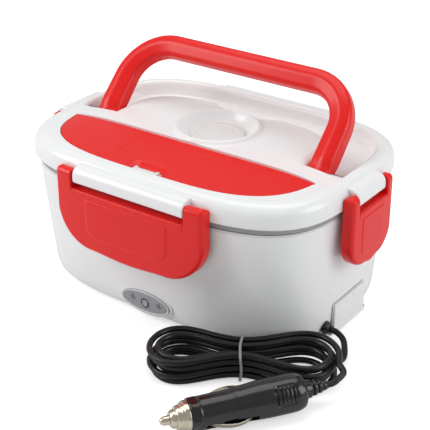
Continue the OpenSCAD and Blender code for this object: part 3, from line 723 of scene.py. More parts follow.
def coverOutline(shrink, rear):
    # The lid's front segment: a plan ring cut straight at y = -rear.
    halfLength, halfDepth = (v - shrink for v in coverSpec["outline"])
    ring = planRings([halfLength], [halfDepth], [0.0], 384)[0, :, :2]
    low = ring[ring[:, 1] < -rear]
    low = low[np.argsort(np.arctan2(low[:, 1], low[:, 0]))]
    reach = planDepth(rear, halfDepth, halfLength)
    return np.vstack([[-reach, -rear], low, [reach, -rear]])


def prismBetween(name, outline, low, high):
    return ringSolid(name, outlineRings(outline, [(0, low), (0, high)]))


def coverBlock(name, shrink, rear, low, high):
    return prismBetween(name, coverOutline(shrink, rear), low, high)


def crownRise(x, y):
    # The crown stands rise (1 - (x/half)^6) (1 - ((y - middle)/reach)^2) over the rim.
    crown = lidSpec["crown"]
    across = np.clip(1 - (x / crown["half"]) ** 6, 0, 1)
    along = np.clip(1 - ((y - crown["middle"]) / crown["reach"]) ** 2, 0, 1)
    return crown["rise"] * across * along


def hingeRadius(x):
    # The cover's rear edge rolls round its hinge, up to the crown.
    axisY, axisZ = lidSpec["hinge"]
    return lidSpec["top"] + 0.1 - axisZ + crownRise(x, -axisY)


def hingeColumns(grow):
    return (lidSpec["hingeHalf"] + grow) * sweep(65)


def hingeRoll(name, grow):
    axisY, axisZ = lidSpec["hinge"]
    x = hingeColumns(grow)
    profile = np.column_stack([hingeRadius(x) + grow, x])
    return ringSolid(name, alongX(circleRings(profile, 48), -axisY, axisZ))


def rollOutline(grow):
    axisY, x = lidSpec["hinge"][0], hingeColumns(grow)
    rear = np.column_stack([x[::-1], hingeRadius(x[::-1]) + grow - axisY])
    return np.vstack([[[x[0], -axisY - 1], [x[-1], -axisY - 1]], rear])


def tabProfile(reach):
    # A bar with a small lower rim and a wide quarter round above, beyond the lid's side.
    tab = lidSpec["tab"]
    (lowX, lowZ, r), (highX, highZ, a, b) = tab["low"], tab["high"]
    t = np.radians(np.linspace(0, 90, 13))
    low = np.column_stack([reach + lowX + r * np.sin(t), lowZ - r * np.cos(t)])
    high = np.column_stack([reach + highX + a * np.cos(t), highZ + b * np.sin(t)])
    root = reach - tab["root"]
    return np.vstack([[[root, lowZ - r]], low, high, [[root, highZ + b]]])


def lidBlank(spec):
    # The lid's outline in rings up its side and over its top, which the crown then lifts.
    side = softCorners(spec["edge"], spec["edgeCuts"])
    inward = np.linspace(side[-1, 0], lidHalf[1] - 0.5, 57)[1:]
    topHalf = lidHalf - side[-1, 0]
    scale = (lidHalf[1] - inward) / topHalf[1]
    over = planRings(topHalf[0] * scale, topHalf[1] * scale, 0 * scale + spec["top"])
    rings = np.concatenate([lidRings(side), over])
    x, y, z = rings[..., 0], rings[..., 1], rings[..., 2]
    lifted = (z > spec["top"] - 0.01) & (y < spec["crown"]["rear"])
    rings[..., 2] = z + np.where(lifted, crownRise(x, y), 0)
    return ringSolid("lidShell", rings)


def overBowl(name, profile, count=96, **ends):
    rings = circleRings(np.asarray(profile), count) + [0, lidSpec["bowlY"], 0]
    return ringSolid(name, rings, **ends)


def makeLid(spec):
    shell = lidBlank(spec)
    joins = [coverBlock("tub", *spec["tub"])]
    for turn, half in spec["tabHalf"].items():
        tab = sideBar("tab", tabProfile(sideReach(turn)[0]), half, turn)
        joins.append(roundEdges(tab, 0.8, 3))
    joins.append(overBowl("collar", softCorners(spec["collar"], spec["collarCuts"]), 128))
    channel = ringSolid("channel", lidRings(softCorners(spec["channel"], spec["channelCuts"])))
    inset, height = softCorners(spec["plateau"], spec["plateauCuts"]).T
    halfLength, halfDepth = spec["plateauHalf"]
    plateau = ringSolid("plateau", planRings(halfLength - inset, halfDepth - inset, height))
    scoop = circleRings(softCorners(spec["scoop"], spec["scoopCuts"]), 256) + [0, spec["scoopY"], 0]
    carve(plateau, cuts=[ringSolid("scoop", scoop)])
    ahead = blockBetween("ahead", (-150, -150, 80), (150, spec["channelFront"], 120))
    carve(channel, cuts=[plateau, ahead])
    inner, outer, front, back, floor = spec["pocket"]
    grow, floorZ, axisY, axisZ = spec["coverGap"], spec["coverFloor"], *spec["hinge"]
    cuts = [
        channel,
        blockBetween("pocket", (inner, front, floor), (outer, back, 112)),
        blockBetween("pocket", (-outer, front, floor), (-inner, back, 112)),
        overBowl("bowl", softCorners(spec["bowl"], spec["bowlCuts"]), 128),
        overBowl("ventHole", [(spec["ventHole"], 80.0), (spec["ventHole"], 104.0)]),
        coverBlock("coverBed", -grow, axisY, floorZ, 112),
        hingeRoll("roll", grow),
        prismBetween("rollSlot", rollOutline(grow), axisZ, 112),
        coverBlock("well", *spec["well"], 112),
    ]
    carve(shell, joins, cuts)
    roundEdges(shell, 0.4, 2, 38)
    return finishPiece(shell, "lid", "whitePlastic", "white_plastic", "lid_shell")


makeLid(lidSpec)
print("lid made")

# Lid liner, seal, vent, catch
lidPartSpecs = {
    "liner": [(15.4, 80), (13.8, 80.7), (12.8, 82.4), (12, 88.7), (13.6, 88.7), (14.4, 83.2), (16.6, 81.6)],
    "linerCuts": [0.6, 0.6, 0.6, 0.3, 0.3, 0.8, 0.6],
    "linerHole": [(2.5, 70.0), (2.5, 90.0)],
    "seal": [(3.4, 84.5), (2.7, 85.2), (2.5, 88.7), (11.5, 88.7), (11.5, 87.8), (10, 84.5)],
    "sealCuts": [0.3, 0.5, 0.1, 0.1, 0.3, 0.6],
    "vent": [(0, 88.8), (2.9, 88.8), (3.5, 89.6), (3.5, 100.4), (17.6, 100.4), (17.6, 101.1), (16.6, 101.7),
             (13.4, 101.7), (12.8, 101.2), (6.0, 101.4), (5.4, 101.5), (0, 101.5)],
    "ventCuts": [0, 0.3, 0.3, 0.3, 0.2, 0.3, 0.4, 0.3, 0.3, 0.3, 0.3, 0],
    "catch": ((-9, -69.8, 100.2), (9, -65.6, 102.8)),
    "catchSlot": ((-7, -67.0, 101.2), (7, -64.0, 104.2)),
}


def makeLidParts(spec):
    liner = ringSolid("lidLiner", lidRings(softCorners(spec["liner"], spec["linerCuts"])))
    carve(liner, cuts=[overBowl("steamHole", spec["linerHole"])])
    finishPiece(liner, "lid", "whitePlastic", "white_plastic", "lid_liner")
    seal = lidRings(softCorners(spec["seal"], spec["sealCuts"], closed=True))
    finishPiece(ringSolid("lidSeal", seal, joined=True), "lid", "sealRubber", "grey_silicone", "lid_seal")
    vent = overBowl("ventPlug", softCorners(spec["vent"], spec["ventCuts"]), capped=False)
    finishPiece(vent, "steam_vent", "ventRubber", "clear_silicone", "vent_plug")
    catch = blockBetween("spoonCatch", *spec["catch"])
    carve(catch, cuts=[blockBetween("catchSlot", *spec["catchSlot"])])
    roundEdges(catch, 0.35, 3)
    finishPiece(catch, "lid", "trayPlastic", "clear_silicone", "spoon_catch")


makeLidParts(lidPartSpecs)
print("lid liner, seal, vent and catch made")


# Spoon cover
def edgeDrop(distance, radius):
    # How far a rounded edge of that radius has fallen at `distance` inside it.
    return radius - np.sqrt(np.maximum(radius**2 - (radius - np.minimum(distance, radius)) ** 2, 0))


def boxDistance(x, y, centreX, centreY, halfX, halfY, corner):
    # Signed distance to a rectangle with rounded corners, negative inside.
    dx, dy = np.abs(x - centreX) - halfX + corner, np.abs(y - centreY) - halfY + corner
    outside = np.hypot(np.maximum(dx, 0), np.maximum(dy, 0))
    return outside + np.minimum(np.maximum(dx, dy), 0) - corner


def makeSpoonCover(spec):
    # Columns run across the cover, rows from its front edge to its rolled rear edge, and the
    # top follows the crown and falls away by the distance to each edge.
    axisY, axisZ = lidSpec["hinge"]
    x = (spec["half"] * sweep(spec["columns"]))[None, :]
    v = (0.5 - 0.5 * np.cos(np.linspace(0, np.pi, spec["rows"])))[:, None]
    halfLength, halfDepth = spec["outline"]
    front = -planDepth(x, halfLength, halfDepth)
    flat, wide, depth = spec["notch"]
    front = front + depth * (1 - smoothStep(np.abs(x), flat, wide))
    roll = hingeRadius(x)
    front = np.minimum(front, -axisY - spec["rearBand"])
    y = front + (roll - axisY - front) * v
    slope = np.gradient(front[0], x[0])[None, :]
    fromFront = (y - front) / np.sqrt(1 + slope**2)
    inside, fall = spec["end"]
    fromEnd = np.minimum(spec["half"] - np.abs(x), inside) + fall * smoothStep(np.abs(x), 0, spec["half"])
    fromNotch = np.hypot(np.maximum(np.abs(x) - flat, 0), np.maximum(y + halfDepth - depth, 0))
    low, reach = spec["scoop"]
    level = np.sqrt(np.maximum(1 - (np.maximum(y + axisY, 0) / roll) ** 2, 0))
    top = np.where(y > -axisY, axisZ + roll * level, lidSpec["top"] + 0.1 + crownRise(x, y))
    top = top - edgeDrop(np.minimum(fromFront, fromEnd), spec["edge"])
    top = top - low * (1 - smoothStep(fromNotch, 0, reach)) ** 2
    cx, cy, hx, hy, r, sink = spec["field"]
    top = top - sink * (1 - smoothStep(boxDistance(x, y, cx, cy, hx, hy, r), *spec["fieldBlend"]))
    bottom = axisZ - (axisZ - spec["bottom"]) * level
    whole = np.broadcast_arrays(x, y, top, bottom)
    cover = plateSolid("spoonCover", np.stack(whole[:3], -1), np.stack([whole[0], whole[1], whole[3]], -1))
    return finishPiece(cover, "spoon_door", "redPlastic", "red_plastic", "spoon_cover")


makeSpoonCover(coverSpec)
print("spoon cover made")

# Handle
handleSpec = {
    "section": [(6.6, -5.5), (-6.6, -5.5), (-7.4, -4.7), (-7.4, 1.4), (-6.2, 3.4), (1.0, 6.2), (6.0, 4.6),
                (7.4, 2.4), (7.4, -4.7)],
    "cuts": [0.6, 0.6, 0.8, 1.3, 1.4, 2.4, 1.5, 1.3, 0.8],
    "legX": 82.2,
    "gripZ": 57.3,
    "bend": 28.3,
    "lean": 44.5,
    "pivot": (-5.0, 99.0),
    "knuckle": (4.3, 6.8, 0.6),
    "pinHole": 2.25,
    "legWide": 1.06,
    "legThick": 0.06,
    "legFade": (4.0, 6),
    "footThick": 0.8,
    "footFade": (3.0, 8.0),
    "legSteps": 16,
    "bendSteps": 25,
}


def makeHandle(spec):
    # The section is carried up one leg, round two bends and down the other leg.
    section = softCorners(spec["section"], spec["cuts"], closed=True)
    legX, gripZ, bend = spec["legX"], spec["gripZ"], spec["bend"]
    a = np.radians(np.linspace(0, 90, spec["bendSteps"]))
    turn = np.concatenate([a, a + np.pi / 2])
    middle = np.repeat([legX - bend, bend - legX], spec["bendSteps"])
    rise = np.linspace(0, gripZ - bend, spec["legSteps"], endpoint=False)
    leg = np.full(spec["legSteps"], legX)
    x = np.concatenate([leg, middle + bend * np.cos(turn), -leg])
    z = np.concatenate([rise, gripZ - bend + bend * np.sin(turn), rise[::-1]])
    way = np.concatenate([0 * leg, turn, 0 * leg + np.pi])[:, None]
    fadeFrom, fadeBelow = spec["legFade"]
    low = 1 - smoothStep(z, fadeFrom, gripZ - fadeBelow)
    wide = 1 + (spec["legWide"] - 1) * low
    foot = spec["footThick"] + (1 - spec["footThick"]) * smoothStep(z, *spec["footFade"])
    thick = (1 + spec["legThick"] * low) * foot
    out, fore = section[:, 0][None, :] * wide[:, None], section[:, 1][None, :] * thick[:, None]
    rings = np.broadcast_arrays(x[:, None] + out * np.cos(way), -fore, z[:, None] + out * np.sin(way))
    bar = ringSolid("handle", np.stack(rings, -1))
    radius, reach, rounding = spec["knuckle"]
    feet = (-legX, legX)
    knuckles = [rodBetween("knuckle", radius, (x - reach, 0, 0), x + reach, rounding) for x in feet]
    holes = [rodBetween("pinHole", spec["pinHole"], (x - 10, 0, 0), x + 10) for x in feet]
    carve(bar, knuckles, holes)
    c, s = math.cos(math.radians(-spec["lean"])), math.sin(math.radians(-spec["lean"]))
    tilt, pivot = np.array([[1, 0, 0], [0, c, s], [0, -s, c]]), np.array([0, *spec["pivot"]]) * mm
    movePoints(bar, lambda points: points @ tilt + pivot)
    roundEdges(bar, 0.3, 2, 45)
    return finishPiece(bar, "carry_handle", "redPlastic", "red_plastic", "handle", smooth=50)


makeHandle(handleSpec)
print("handle made")

# Latches
longLatch = {"half": 55.3, "corner": 27.0, "hook": 24.0, "columns": 241, "bottom": 46.5, "fieldCorner": 9.5}
shortLatch = {"half": 24.0, "corner": 17.0, "hook": 10.0, "columns": 161, "bottom": 48.5, "fieldCorner": 5.0}
seenRidge = (4.2, 94.7, 3.7)
farRidge = (3.6, 88.0, 10.1)
latchSpecs = {
    "front": {"turn": 0, "ear": 13.3, "ridge": seenRidge, **longLatch},
    "rear": {"turn": 180, "ear": 9.0, "ridge": farRidge, **longLatch},
    "right": {"turn": 90, "ear": 7.4, "ridge": seenRidge, **shortLatch},
    "left": {"turn": 270, "ear": 5.0, "ridge": farRidge, **shortLatch},
}
latchForm = {
    "plateTop": 87.3,
    "out": 8.0,
    "back": 0.5,
    "wall": 2.4,
    "edge": 2.6,
    "notchEdge": 1.2,
    "pivotOut": 3.6,
    "pivotZ": 97.0,
    "pinRadius": 1.1,
    "pinReach": 4.0,
    "fieldTop": 83.0,
    "fieldBottom": 57.6,
    "fieldRise": 0.45,
    "fieldWide": 0.56,
    "earRound": 3.0,
    "middleRise": 1.5,
    "hook": [(0.2, 65.8), (0.2, 70), (0.4, 71.9), (2.6, 71.9), (6.2, 69.4), (6.2, 65.8)],
    "rows": 111,
    "cavityGrid": (81, 31),
}


def sideDepth(x, turn):
    # How far out the lid's side stands at x along the side that faces `turn`.
    outward, along = sideReach(turn)
    return planDepth(x, along, outward)


def latchGrid(spec, form, inset=0.0):
    # Columns sweep across as half sin u; each runs from the curved lower edge to the upper
    # one, which steps up at the two ears. An inset grid, for the cavity, has no ears.
    columns, rows = form["cavityGrid"] if inset else (spec["columns"], form["rows"])
    half, r = spec["half"] - inset, spec["corner"]
    x = half * sweep(columns)
    level = np.clip(np.abs(x) / (half - r), 0, 1)
    fall = np.maximum(np.abs(x) - (half - r), 0)
    low = spec["bottom"] + inset + form["middleRise"] * smoothStep(level, 0, 1)
    low = low + r - np.sqrt(np.maximum(r**2 - fall**2, 0))
    high = np.full_like(x, form["plateTop"] - inset)
    if not inset:
        notch, soft = spec["half"] - spec["ear"], form["earRound"]
        step = smoothStep(np.abs(x), notch - 0.2, notch + 0.9)
        drop = soft - np.sqrt(np.maximum(soft**2 - np.maximum(np.abs(x) - half + soft, 0) ** 2, 0))
        earTop = spec["ridge"][1] + spec["ridge"][2] - 0.05
        high = high + (earTop - high) * step - drop
    v = np.linspace(0, 1, rows)[:, None]
    return x[None, :] + 0 * v, low + (high - low) * v, low[None, :], high[None, :]


def ridgeCurve(spec, z):
    # 1 below the ridge's middle, falling to 0 at its top as a quarter round.
    _, middle, radius = spec["ridge"]
    return np.sqrt(np.maximum(1 - (np.maximum(z - middle, 0) / radius) ** 2, 0))


def latchFace(spec, form):
    # The face stands `out` from the lid and falls away at its edges and at the notch; the
    # ears roll over a ridge, and a field with rounded lower corners stands a little proud.
    x, z, low, high = latchGrid(spec, form)
    slope = np.gradient(low[0], x[0])[None, :]
    fromLow = (z - low) / np.sqrt(1 + slope**2)
    fromSide = spec["half"] - np.abs(x)
    notch = spec["half"] - spec["ear"] + 0.35
    corner = np.hypot(np.maximum(np.abs(x) - notch, 0), np.maximum(form["plateTop"] - z, 0))
    inEar = np.where(z > form["plateTop"], np.abs(x) - notch, corner)
    fromNotch = np.where(np.abs(x) > notch, inEar, high - z)
    edge = np.minimum(fromLow, fromSide)
    ridgeOut = spec["ridge"][0]
    face = ridgeOut + (form["out"] - ridgeOut) * ridgeCurve(spec, z)
    face = face - edgeDrop(np.maximum(edge, 0), form["edge"])
    face = face - edgeDrop(np.maximum(fromNotch, 0), form["notchEdge"])
    middle, tall = (form["fieldTop"] + form["fieldBottom"]) / 2, (form["fieldTop"] - form["fieldBottom"]) / 2
    halfField = spec["half"] * form["fieldWide"]
    square = boxDistance(x, z, 0, middle + 10, halfField, tall + 10, spec["fieldCorner"])
    field = np.maximum(square, z - form["fieldTop"])
    return x, z, face + form["fieldRise"] * (1 - smoothStep(field, -0.8, 0.1))


def makeLatch(side, spec, form):
    turn = spec["turn"]
    x, z, proud = latchFace(spec, form)
    depth = sideDepth(x, turn)
    behind = spec["ridge"][0] * (1 - ridgeCurve(spec, z))
    front = np.stack([x, -(depth + proud), z], -1)
    back = np.stack([x, -(depth - 2.0 + (2.0 * (behind > 0) + behind)), z], -1)
    shell = plateSolid(f"{side}Latch", moveRings(front, turn), moveRings(back, turn))
    cx, cz, _, _ = latchGrid(spec, form, form["wall"])
    cavityDepth = sideDepth(cx, turn)
    inner = [np.stack([cx, -(cavityDepth + d), cz], -1) for d in (form["out"] - form["wall"], -5.0)]
    cavity = plateSolid("cavity", *(moveRings(g, turn) for g in inner))
    lidSide = ringSolid("lidSide", lidRings(np.array([(-form["back"], 40.0), (-form["back"], 110.0)])))
    carve(shell, cuts=[cavity, lidSide])
    reach = sideReach(turn)[0]
    pivot, radius = -(reach + form["pivotOut"]), form["pinRadius"]
    extras = []
    for way in (-1, 1):
        low = spec["half"] - spec["ear"] - form["pinReach"] - 0.5
        start, end = sorted((way * low, way * (spec["half"] - 3.0)))
        extras.append(rodBetween("pin", radius, (start, pivot, form["pivotZ"]), end, 0.2))
    extras.append(sideBar("hook", np.array(form["hook"]) + [reach, 0], spec["hook"], 0))
    for extra in extras:
        movePoints(extra, lambda points: turned(points, turn))
    carve(shell, joins=extras)
    return finishPiece(shell, f"latch_{side}", "redPlastic", "red_plastic", f"{side}_latch", smooth=50)


for side, spec in latchSpecs.items():
    makeLatch(side, spec, latchForm)
print("latches made")

# Inside of the box
insideSpec = {
    "innerLiner": {
        "profile": [(14.4, 24), (10.6, 26.2), (7, 74.4), (4, 75), (4, 83), (0.4, 83), (0.4, 84.2),
                    (5.6, 84.2), (5.6, 75.8), (8.6, 75.8), (12.2, 27.4), (16, 25.6)],
        "cuts": [0.9, 1.2, 0.8, 0.6, 0.2, 0.2, 0.4, 0.5, 0.5, 0.7, 1.4, 0.8],
        "node": "inner_liner", "body": "box"},
    "foodTray": {
        "profile": [(16.4, 26.3), (13.6, 28.4), (9.8, 76.1), (6.4, 76.1), (6.4, 77.5), (11.2, 77.5),
                    (15, 29.6), (17.6, 27.8)],
        "cuts": [0.9, 1.6, 0.6, 0.4, 0.4, 0.9, 1.6, 0.8],
        "node": "food_tray", "body": "main_tray"},
}
sideTraySpec = {
    "rows": [(25, 53, 52), (27, 55.5, 54.5), (28.6, 58.6, 77.5), (32, 66, 77.5), (32, 66, 78.7),
             (27.2, 57.2, 78.7), (25.6, 54, 55.4), (23.6, 51.4, 53.4)],
    "cuts": [0.6, 1.0, 0.5, 0.4, 0.4, 0.5, 1.0, 0.6],
    "middle": 56.0,
}
for name, spec in insideSpec.items():
    made = ringSolid(name, bodyRings(softCorners(spec["profile"], spec["cuts"])))
    finishPiece(made, spec["body"], "trayPlastic", "pale_plastic", spec["node"])


def makeSideTray(spec):
    # Each row is half width, half depth and height, from the foot up the outside and down inside.
    rows = np.array(spec["rows"])
    widths, depths = (softCorners(rows[:, [i, 2]], spec["cuts"]) for i in (0, 1))
    tray = ringSolid("sideTray", planRings(widths[:, 0], depths[:, 0], widths[:, 1]) + [spec["middle"], 0, 0])
    return finishPiece(tray, "upper_tray", "whitePlastic", "white_plastic", "side_tray")


makeSideTray(sideTraySpec)
print("trays made")

# Inlet flap
def makeFlap(spec):
    half, low, high = spec["half"], spec["low"], spec["high"]
    corners = [(-half, low), (half, low), (half, high), (-half, high)]
    x0, x1 = spec["x"]
    layers = [(0.2, x0), (0, x0 + 0.2), (0, x1 - 0.7), (0.2, x1 - 0.25), (0.7, x1)]
    rings = outlineRings(softCorners(corners, [0.4, 0.4, 1.4, 1.4], closed=True), layers)
    flap = ringSolid("inletFlap", alongX(rings))
    slit = spec["slit"]
    bars = [
        rodBetween("barrel", spec["barrel"], (-half, 0, 0), half, 0.3),
        rodBetween("hole", spec["pinHole"], (-half - 1, 0, 0), half + 1),
        rodBetween("slit", slit["radius"], (-slit["half"], 0, 0), slit["half"], 0.5),
    ]
    places = [spec["hinge"], spec["hinge"], (x1 + slit["beyond"], high - slit["below"])]
    for bar, (x, z) in zip(bars, places):
        movePoints(bar, lambda points: turned(points, 90) + np.array([x, 0, z]) * mm)
    carve(flap, bars[:1], bars[1:])
    return finishPiece(flap, "inlet_flap", "whitePlastic", "white_plastic", "inlet_cover")


makeFlap(flapSpec)
print("flap made")

# Tie of the hank
tieSpec = {"half": 12.5, "high": 19.2, "power": 5.5, "width": 1.5, "thick": 0.6, "bow": 1.6}


def makeTie(spec, hank):
    # A flat band round the hank's waist: its section follows a rounded box, bowed along the hank.
    t = around(120)
    k = boxRadius(t, spec["power"])
    middle = spec["high"] / 2 + 0.1
    corners = softCorners([(-1, -1), (1, -1), (1, 1), (-1, 1)], 0.5, 4, closed=True)
    corners = corners * [spec["width"] / 2, spec["thick"] / 2]
    along = spec["bow"] * np.cos(t)[None, :] ** 2 + corners[:, :1] - spec["bow"] / 2
    across = (spec["half"] + corners[:, 1:]) * (k * np.cos(t))[None, :]
    up = (middle - 0.4 + corners[:, 1:]) * (k * np.sin(t))[None, :] + middle
    c, s = math.cos(hank["hankTurn"]), math.sin(hank["hankTurn"])
    x, y = hank["hankCentre"]
    rings = np.stack([x + along * c + across * s, y + along * s - across * c, up], -1)
    return finishPiece(ringSolid("cordTie", rings, joined=True), "box", "tieBand", "tie_grey", "cord_tie")


makeTie(tieSpec, leadSpec)
print("tie made")

# 12 volt plug
plugSpec = {
    "body": [(5.65, 14), (7.6, 14), (9.7, 15.2), (10.9, 19), (11, 23), (11, 36), (10.7, 42), (10.1, 50),
             (10.0, 56), (9.6, 56.5), (9.4, 76), (9.6, 76.6), (9.6, 81), (9.0, 82), (6.3, 82), (6.3, 41),
             (2.4, 41), (2.4, 17.2), (5.65, 17.2)],
    "bodyCuts": [0.2, 0.6, 1.4, 1.6, 1.2, 2, 2, 2, 0.3, 0.3, 0.6, 0.3, 0.5, 0.3, 0.2, 0.2, 0.2, 0.2, 0.2],
    "grip": {"facing": 122.0, "middle": 27.5, "halfArc": 6.4, "halfLong": 6.6, "corner": 2.2, "sink": 0.55,
             "ribs": 5, "ribRise": 0.75},
    "collar": (77.0, 9.0),
    "slot": (44.0, 74.0, 2.3, 5.2, 13.0),
    "contactTurn": 60.0,
    "contact": {"base": 7.4, "bow": 4.0, "start": 45.0, "length": 27.2, "half": 1.8, "thick": 0.35},
    "nosePiece": [(2.65, 82.05), (8.7, 82.05), (8.7, 84.6), (8.2, 85.1), (7.6, 85.1), (7.6, 86.4),
                  (6.9, 86.7), (6.9, 88.6), (6.1, 89.4), (5.2, 89.6), (5.2, 91.2), (4.2, 92.6), (2.65, 92.9)],
    "nosePieceCuts": [0.1, 0.5, 0.5, 0.3, 0.2, 0.2, 0.2, 0.5, 0.4, 0.2, 0.4, 0.6, 0.1],
    "tip": [(0, 79), (4.4, 79), (4.4, 81.5), (2.6, 81.5), (2.6, 95.2), (2.1, 97.2), (1.1, 98), (0, 98)],
    "tipCuts": [0, 0.3, 0.3, 0.2, 0.5, 0.7, 0.4, 0],
    "relief": [(0, 0), (2.6, 0), (3.0, 1.2), (3.0, 2.0), (2.7, 2.3), (2.7, 3.2), (3.8, 3.5), (3.9, 5.2),
               (3.1, 5.5), (3.1, 6.5), (4.5, 6.8), (4.6, 8.5), (3.6, 8.8), (3.6, 9.8), (5.2, 10.1),
               (5.4, 12.0), (5.6, 13), (5.6, 17), (0, 17)],
    "reliefCuts": [0, 0.3, 0.4, 0.1, 0.1, 0.1, 0.3, 0.3, 0.1, 0.1, 0.3, 0.3, 0.1, 0.1, 0.3, 0.3, 0.3, 0.1, 0],
}


def onPlug(rings):
    # Local Z runs along the plug from its cord end, local X points down and local Y to its side.
    c, s = math.cos(leadSpec["plugHeading"]), math.sin(leadSpec["plugHeading"])
    axes = np.array([[0, 0, -1.0], [-s, c, 0], [c, s, 0]])
    return (rings.reshape(-1, 3) @ axes + np.array(leadSpec["plugEntry"])).reshape(rings.shape)


def finePoints(profile, step):
    # Extra points along each edge, so that no edge is longer than `step`.
    ahead = np.roll(profile, -1, 0)
    count = np.maximum(np.ceil(np.linalg.norm(ahead - profile, axis=1) / step).astype(int), 1)
    index = np.repeat(np.arange(len(profile)), count)
    part = (np.arange(count.sum()) - np.repeat(np.cumsum(count) - count, count)) / count[index]
    return profile[index] + (ahead - profile)[index] * part[:, None]


def makePlugBody(spec):
    # A turned shape whose radius also drops into the grip's recess, rises on its ribs and is
    # cut to six flats at the collar.
    profile = finePoints(softCorners(spec["body"], spec["bodyCuts"], 4, closed=True), 0.35)
    r, z = profile[:, :1], profile[:, 1:]
    t = around(180)[None, :]
    grip = spec["grip"]
    away = (t - math.radians(grip["facing"]) + np.pi) % (2 * np.pi) - np.pi
    arc = away * r
    edge = boxDistance(arc, z, 0, grip["middle"], grip["halfArc"], grip["halfLong"], grip["corner"])
    inside = smoothStep(-edge, 0, 0.7)
    pitch = 2 * grip["halfLong"] / (grip["ribs"] + 0.5)
    wave = 0.5 + 0.5 * np.cos(2 * np.pi * (z - grip["middle"]) / pitch)
    across = 1 - smoothStep(np.abs(arc), grip["halfArc"] - 1.8, grip["halfArc"] - 0.9)
    rib = smoothStep(wave, 0.45, 0.85) * across
    radius = r + np.where(r > 7.5, inside * (grip["ribRise"] * rib - grip["sink"]), 0)
    start, flat = spec["collar"]
    turn = (t + np.pi / 6) % (np.pi / 3) - np.pi / 6
    hexagon = flat / np.cos(turn)
    radius = np.where((z > start) & (r > 7.5), np.minimum(radius, hexagon), radius)
    rings = np.stack(np.broadcast_arrays(radius * np.cos(t), radius * np.sin(t), z), -1)
    body = ringSolid("plugBody", onPlug(rings), joined=True)
    low, high, half, inner, outer = spec["slot"]
    corners = [(-half, low), (half, low), (half, high), (-half, high)]
    block = np.array([[(x, y, z) for y, z in corners] for x in (inner, outer)])
    cuts = [ringSolid("slot", onPlug(moveRings(block, spec["contactTurn"] + side))) for side in (0, 180)]
    carve(body, cuts=cuts)
    return finishPiece(body, "box", "blackPlastic", "black_plastic", "plug_body", smooth=40)


def makeContacts(spec):
    # Each strip leaves its slot, bows out as sin(pi s^0.85) and goes back in.
    strip = spec["contact"]
    s = np.linspace(0, 1, 49)[:, None]
    section = softCorners([(-1, -1), (1, -1), (1, 1), (-1, 1)], [0.3], 3, closed=True)
    out = strip["base"] + strip["bow"] * np.sin(np.pi * s**0.85) + section[:, 1] * strip["thick"]
    wide = section[:, 0] * strip["half"] + 0 * s
    along = strip["start"] + strip["length"] * s + 0 * wide
    ring = np.stack([out, wide, along], -1)
    sides = [ringSolid("contact", onPlug(moveRings(ring, spec["contactTurn"] + turn))) for turn in (0, 180)]
    carve(sides[0], joins=[sides[1]])
    sides[0].name = "plugContacts"
    return finishPiece(sides[0], "box", "platedMetal", "plated", "plug_side_contacts", smooth=40)


def makeTurned(name, key, body, finishName, slotName, node, joined):
    soft = softCorners(plugSpec[key], plugSpec[key + "Cuts"], 4, closed=joined)
    piece = ringSolid(name, onPlug(circleRings(soft)), joined=joined, capped=False)
    return finishPiece(piece, body, finishName, slotName, node, smooth=40)


plugPieces = [
    makePlugBody(plugSpec),
    makeContacts(plugSpec),
    makeTurned("plugRelief", "relief", "box", "blackPlastic", "black_plastic", "plug_strain_relief", False),
    makeTurned("plugNose", "nosePiece", "box", "platedMetal", "plated", "plug_nose", True),
    makeTurned("plugTip", "tip", "plug_contact", "platedMetal", "plated", "plug_tip", False),
]
print("plug made")

# Floor and light
lampSpecs = {
    "keyLeft": {"at": (-1.2, -1.02, 1.0), "size": (1.0, 1.1), "power": 15.5},
    "sideRight": {"at": (1.5, 0.35, 0.8), "size": (0.9, 1.1), "power": 10.0},
    "topBack": {"at": (-0.2, 0.35, 1.7), "size": (1.5, 1.1), "power": 9.2},
}
worldStrength = 0.46
floorSpec = {"colour": (232, 232, 233), "half": 6.0, "near": 0.3, "far": 1.5, "nearLift": 0.5, "farLift": 1.0}


def softLamp(name, spec):
    lamp = bpy.data.lights.new(name, "AREA")
    lamp.shape = "RECTANGLE"
    lamp.size, lamp.size_y = spec["size"]
    lamp.energy = spec["power"]
    aim(linked(name, lamp), spec["at"], Vector((0, 0, 0.05)) - Vector(spec["at"]))


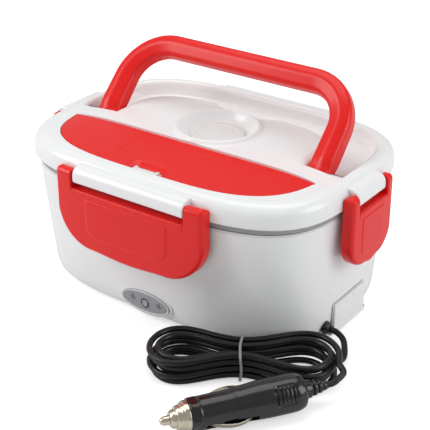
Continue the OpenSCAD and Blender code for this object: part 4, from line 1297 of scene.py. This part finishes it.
def paleWorld(strength):
    # Soft grey light all round, and plain white where the camera or a clear lens looks past the floor.
    world = bpy.data.worlds.new("paleWorld")
    world.use_nodes = True
    bpy.context.scene.world = world
    tree = world.node_tree
    background = tree.nodes["Background"]
    background.inputs["Color"].default_value = (1, 1, 1, 1)
    path = tree.nodes.new("ShaderNodeLightPath")
    seen = mathNode(tree, "MAXIMUM", path.outputs["Is Camera Ray"], path.outputs["Is Transmission Ray"])
    lift = mathNode(tree, "MULTIPLY", seen, 1.0 - strength)
    tree.links.new(mathNode(tree, "ADD", lift, strength), background.inputs["Strength"])


def paleFloor(spec):
    # For the camera only, the floor glows a little near the object and fully far from it.
    finish, tree, shader = principled("paleFloor")
    shader.inputs["Base Color"].default_value = linear(*spec["colour"])
    shader.inputs["Roughness"].default_value = 0.9
    shader.inputs["Specular IOR Level"].default_value = 0.1
    shader.inputs["Emission Color"].default_value = (1, 1, 1, 1)
    path = tree.nodes.new("ShaderNodeLightPath")
    place = tree.nodes.new("ShaderNodeTexCoord")
    away = tree.nodes.new("ShaderNodeVectorMath")
    away.operation = "LENGTH"
    fade = tree.nodes.new("ShaderNodeMapRange")
    sockets = {"From Min": "near", "From Max": "far", "To Min": "nearLift", "To Max": "farLift"}
    for label, key in sockets.items():
        fade.inputs[label].default_value = spec[key]
    tree.links.new(place.outputs["Object"], away.inputs[0])
    tree.links.new(away.outputs["Value"], fade.inputs["Value"])
    lift = mathNode(tree, "MULTIPLY", path.outputs["Is Camera Ray"], fade.outputs["Result"])
    tree.links.new(lift, shader.inputs["Emission Strength"])
    sheet = bpy.data.meshes.new("floor")
    half = spec["half"]
    corners = [(-half, -half, 0), (half, -half, 0), (half, half, 0), (-half, half, 0)]
    sheet.from_pydata(corners, [], [(0, 1, 2, 3)])
    sheet.materials.append(finish)
    linked("floor", sheet)


for name, spec in lampSpecs.items():
    softLamp(name, spec)
paleWorld(worldStrength)
paleFloor(floorSpec)
bpy.context.scene.view_settings.view_transform = "Standard"
print("floor and light set")
